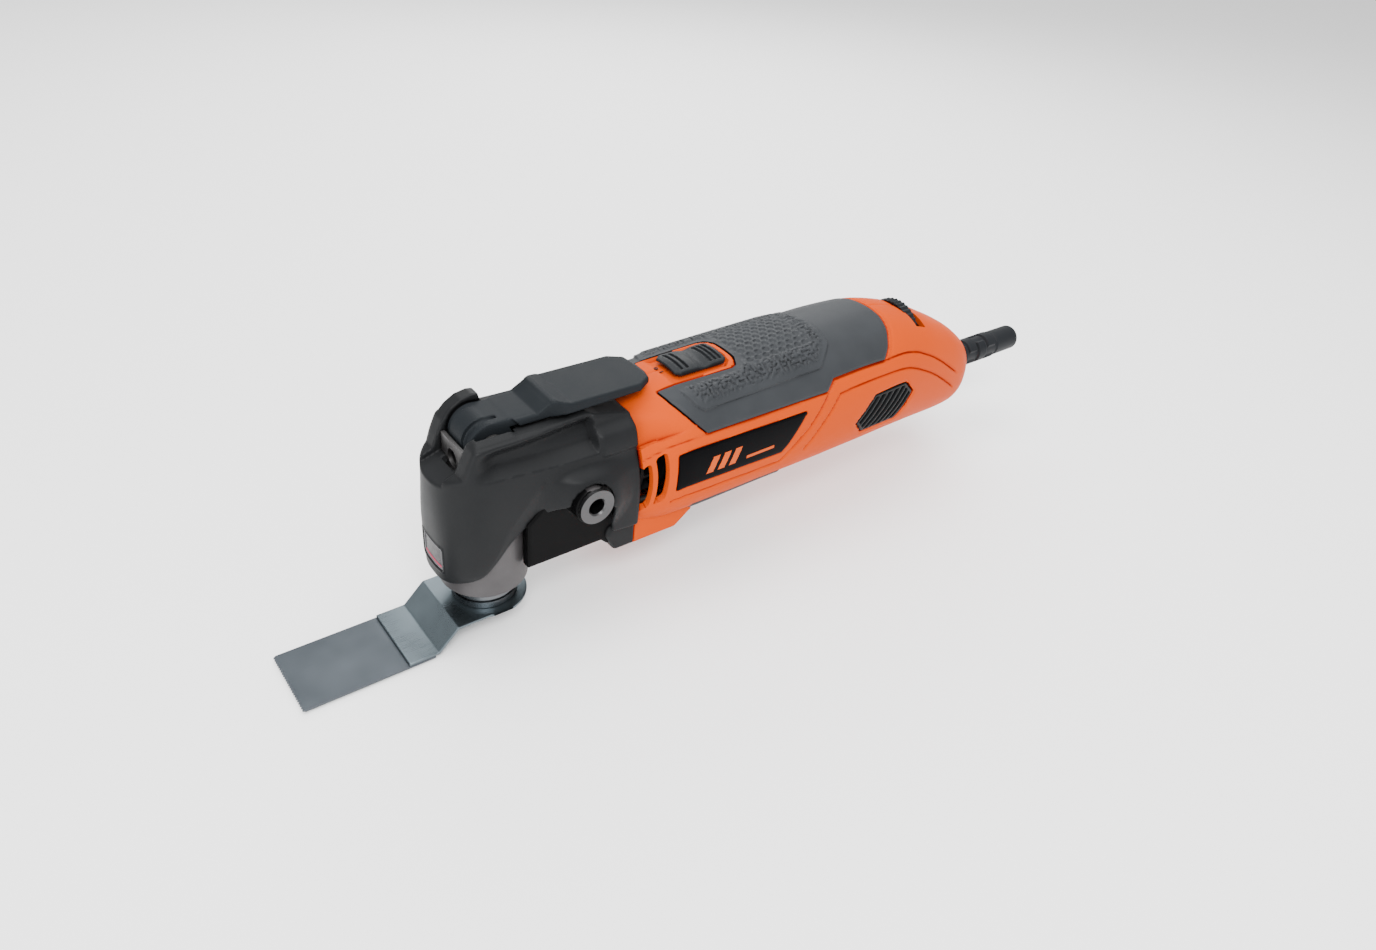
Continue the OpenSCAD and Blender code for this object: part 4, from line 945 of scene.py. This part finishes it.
def cover_field(x, y, z):
    """The head cover, with room for what is inside it and openings for the window and the steel rings."""
    sides = cover_outside(x, y, z)
    outline = polygon_field(x, z, COVER_SIDE)
    solid = both(sides, outline, 1.8)
    # Only the lever's two cheeks stand above the bridge, the right one higher than the left one
    a = np.abs(y)
    solid = both(solid, either(slab(a, 9.2, 15.6), z - 79.2, 0.5), 0.9)
    solid = both(solid, joined(z - 80.2 + 0.35 * np.maximum(0, a - 12), -1 - y), 1.6)
    # Between the cheeks the front wall slopes down from the lever's bracket, around its hole
    wall_top = 66.2 - 0.34 * np.maximum(0, -11.2 - x)
    hole = common(disc(y, z, 5.2, 0, 67.6), slab(x, -12.6, -9))
    gap = both(both(a - 8.9, x - 10.8, 0.5), joined(wall_top - z, hole), 0.8)
    solid = without(solid, gap, 0.7)
    # Room for the lever's hubs and cam, for the bracket, and for the gearbox
    lever_room = joined(common(disc(x, z, 9.45, PIN.x, PIN.z), a - 11.6),
                        common(disc(x, z, 10.6, PIN.x, PIN.z), a - 8.9))
    bracket_room = joined(common(slab(x, -10.9, 9), a - 11.3, slab(z, 60, 64)),
                          common(slab(x, -9, 9), a - 8.9, slab(z, 60, 66)),
                          common(slab(x, -6, 8.6), slab(a, 8.7, 11.3), slab(z, 60, 74)))
    inside = common(sides + COVER_WALL, outline + COVER_WALL, joined(z - NOSE_TOP, 49.5 - x))
    nose = disc(x, y, 18.05) + np.maximum(0, z - NOSE_TOP) * 5
    barrel = common(disc(y, z, 17.6, 0, MOTOR_Z), 6 - x)
    solid = without(solid, joined(lever_room, bracket_room, inside, nose, barrel), 0.02)
    solid = without(solid, cover_edge_field(x, z), 0.9)
    # The window's hood, then the openings for the window and the steel rings
    hood = np.abs(common(slab(z, 22.6, 34.4), a - 8.3)) - 0.5
    solid = joined(solid, common(hood, x + 14, slab(sides, -1.8, 0.25)))
    window = common(slab(z, 23.4, 33.6), a - 7.5, x + 14)
    solid = without(solid, joined(disc(x, z, 8.4, RING.x, RING.z), window), 0.4)
    return common(solid, x - COVER_REAR_X)


def add_head_cover():
    """Dark cover over the gearbox."""
    add_solid("head_shell", cover_field, (-21.4, -28.4, 16), (57.8, 28.4, 86), 0.66, "head_rubber",
              replaces=["head_cover"], crease=42)


def add_gear_cover():
    """Near-black lower box with its side collars, and the grey foot behind it."""
    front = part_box("gear_cover")[0].x / MM
    outline = [(front, 20), (front, 41), (17, 48), (26, 52), (43, 50), (50, 27), (COVER_REAR_X, 25.6),
               (COVER_REAR_X, 17), (46, 17), (43, 20)]
    half_width, wall = 20, 1.8

    def box_field(x, y, z):
        profile = polygon_field(x, z, outline)
        box = both(profile, np.abs(y) - half_width, 1.3)
        inside = common(profile + wall, np.abs(y) - half_width + wall)
        nose = disc(x, y, 18.3)
        barrel = common(disc(y, z, 17.4, 0, MOTOR_Z), 5 - x)
        flange = common(disc(y, z, 22, 0, MOTOR_Z), 49.8 - x)
        box = without(box, joined(inside, nose, barrel, flange), 0.3)
        collar = both(disc(x, z, 8.3, RING.x, RING.z), slab(np.abs(y), 18, 28.3), 0.9)
        return without(either(box, collar, 1.0), disc(x, z, 6.2, RING.x, RING.z), 0.02)

    add_solid("gear_box_shell", box_field, (front, -28.5, 15), (57.8, 28.5, 54), 0.6, "gear_cover_black",
              replaces=["gear_cover"], crease=42)
    foot_outline = [(46.6, 22.6), (50, 15.6), (60, 15.6), (60, 24.4), (47.4, 24.4)]

    def foot_field(x, y, z):
        block = common(both(polygon_field(x, z, foot_outline) - 2.2, np.abs(y) - 21.7, 2.2), x - 57.6)
        return without(block, common(48 - x, np.abs(y) - 19.6, 15.4 - z), 0.3)

    add_solid("gear_foot", foot_field, (44, -22, 13.3), (57.7, 22, 27), 0.5, "gear_cover_black",
              material="head_rubber", crease=42)


def add_lens():
    """Work light window: a curved pane in a pale frame, with a pink strip along its lower edge."""
    def pane(x, y, z):
        curved = slab(cover_outside(x, y, z), -1.5, -0.5)
        return both(both(curved, slab(z, 24.1, 32.9), 0.3), common(np.abs(y) - 6.9, x), 0.3)

    def rim(x, y, z):
        curved = slab(cover_outside(x, y, z), -1.7, -0.1)
        outside = both(slab(z, 23.5, 33.5), common(np.abs(y) - 7.4, x), 0.5)
        opening = common(slab(z, 24.0, 33.0), np.abs(y) - 6.9)
        return both(without(outside, opening, 0.1), curved, 0.2)

    def strip(x, y, z):
        curved = slab(cover_outside(x, y, z), -1.0, -0.3)
        return both(both(curved, slab(z, 24.1, 24.8), 0.2), common(np.abs(y) - 6.8, x), 0.2)

    add_solid("light_pane", pane, (-21.5, -7, 24), (-17, 7, 33), 0.3, "lens_clear", replaces=["led_lens"])
    add_solid("light_rim", rim, (-21.5, -8, 23), (-17, 8, 34), 0.3, "lens_clear", material="lens_frame")
    add_solid("light_strip", strip, (-21.5, -7, 24), (-18, 7, 26), 0.25, "lens_clear", material="lens_pink")


def add_lever():
    """Quick-release lever: knuckle and cam on the pin, arm, ridge and paddle."""
    hub_r, hub_half, cam_r, pin_hole_r = 9.2, 8.55, 8.2, 2.55
    side = [(1.2, 83.2), (10, 83), (19, 82.8), (25.3, 86.3), (27, 86.4), (32.5, 84.7), (69, 84.3),
            (71.6, 82.9), (71.4, 81.1), (31, 80.3), (26, 79.7), (8.5, 79.7), (5, 76), (1.2, 76)]
    plan = [(8, -10.3), (24.5, -10.3), (30.5, -12.8), (63.6, -12.8), (69.4, -9.2), (72, -3.4), (72, 3.4),
            (69.4, 9.2), (63.6, 12.8), (30.5, 12.8), (24.5, 10.3), (8, 10.3)]

    def field(x, y, z):
        radius = disc(x, z, 0, PIN.x, PIN.z)
        hubs = both(radius - hub_r, slab(np.abs(y), 5.7, hub_half), 0.5)
        cam = both(disc(x, z, cam_r, PIN.x - 1.5, PIN.z + 1.2), np.abs(y) - 5.8, 0.3)
        profile = polygon_field(x, z, side)
        strap = both(profile, common(np.abs(y) - hub_half, x - 24), 1.0)
        paddle = both(profile, polygon_field(x, y, plan), 1.0)
        paddle = without(paddle, common(radius - 12.3, hub_half - np.abs(y)), 0.3)
        solid = either(joined(hubs, cam, strap), paddle, 0.3)
        knuckle = both(radius - hub_r, common(np.abs(y) - hub_half, z - 83.15), 0.5)
        solid = joined(solid, common(knuckle, 67.5 - z - 3.0 * np.minimum(x, 0)))
        ring_groove = np.hypot(radius - hub_r - 0.1, y + 4.3) - 0.95
        solid = without(solid, common(ring_groove, x - 5), 0.4)
        return without(solid, radius - pin_hole_r)

    add_solid("release_lever", field, (-8.4, -13, 64.6), (72.2, 13, 86.6), 0.5, "lever_plastic", body="lever",
              replaces=["lever"], crease=40)


def add_switch():
    """Slide switch button with ridges at both ends and a hollow between them."""
    low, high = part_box("switch_button")
    x0, x1, top = low.x / MM, high.x / MM, high.z / MM
    mid = (x0 + x1) / 2
    plan = [(x0, -6.4), (x0 + 2.2, -8.2), (x1 - 1.6, -8.2), (x1, -6.8), (x1, 6.8), (x1 - 1.6, 8.2),
            (x0 + 2.2, 8.2), (x0, 6.4)]

    def field(x, y, z):
        sag = 0.016 * y * y
        hollow = 0.9 * np.exp(-(((x - mid - 1.5) / 3.0) ** 2))
        slope = 0.6 * smooth(x0 + 3, x0, x)
        ridges = 0.0
        for offset in (-9.2, -6.3, 5.6, 8.0, 10.4):
            ridges = ridges + 0.8 * smooth(0.95, 0.4, np.abs(x - mid - offset)) * smooth(6.7, 6.0, np.abs(y))
        body = both(polygon_field(x, y, plan), z - (top - sag - hollow - slope - ridges), 0.7)
        body = both(body, 80.1 - sag - z, 0.1)
        stem = common(slab(x, 92.2, 98), np.abs(y) - 3, slab(z, 76.6, 80.6))
        return either(body, stem, 0.1)

    add_solid("switch_slide", field, (x0, -8.3, 76.6), (x1, 8.3, top), 0.3, "button_plastic", body="switch",
              replaces=["switch_button"], crease=40)


def add_blade_carrier():
    """The blade's upper half, with rounded bends and its round end."""
    low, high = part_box("blade_carrier")
    thick = 1.2
    half_width = high.y / MM
    lower = low.z / MM + thick / 2
    path = [(18, -thick / 2), (-19.4, -thick / 2), (-28.0, lower), (-46, lower)]
    quarter_turns = [math.pi / 2 * k for k in range(4)]

    def field(x, y, z):
        sheet = line_distance(x, z, path) - thick / 2
        plan = joined(disc(x, y, 17.1), both(np.abs(y) - half_width, x + 6))
        solid = both(sheet, common(plan, -40.2 - x), 0.25)
        pins = (disc(x, y, 1.7, 9.2 * math.cos(turn), 9.2 * math.sin(turn)) for turn in quarter_turns)
        return without(solid, joined(disc(x, y, 5), *pins))

    add_solid("blade_upper", field, (-40.3, -half_width, -10.1), (17.2, half_width, 0), 0.4, "blade_steel",
              body="spindle", replaces=["blade_carrier"], crease=30)


# ---------------------------------------------------------------- the CAD nodes that are shown as they are

# Width of the bevel on each, in millimetres
BEVELLED = {
    "drive_flange": 0.15, "gear_housing": 0.4, "handle_insert_left": 0.25, "handle_insert_right": 0.25,
    "lever_bracket": 0.2, "lever_pin": 0.2, "clamp_bolt": 0.2, "clamp_cap": 0.2, "speed_dial": 0.15,
    "saw_strip": 0.05, "cooling_fan": 0.1, "housing_screws": 0.15,
}


def dress_cad_nodes():
    """Gives each CAD node its record slot's material, and a small bevel where its edges show."""
    slots = {part["node"]: part["material_slot"] for part in frame["record"]["subparts"]}
    for name, node in frame["nodes"].items():
        node.data.materials.clear()
        node.data.materials.append(MATERIALS[slots[name]])
        if name in BEVELLED:
            bevel = node.modifiers.new("soft_edges", "BEVEL")
            bevel.width = BEVELLED[name] * MM
            bevel.segments = 2
            bevel.limit_method = "ANGLE"
            bevel.angle_limit = math.radians(40)


MATERIALS = make_materials()
add_camera()
add_studio()
add_floor()
dress_cad_nodes()
add_housing_half(-1, "housing_left")
add_housing_half(1, "housing_right")
add_grips()
add_labels()
add_switch_marks()
add_vent_grilles()
add_foot()
add_boot()
add_head_cover()
add_gear_cover()
add_lens()
add_lever()
add_switch()
add_blade_carrier()
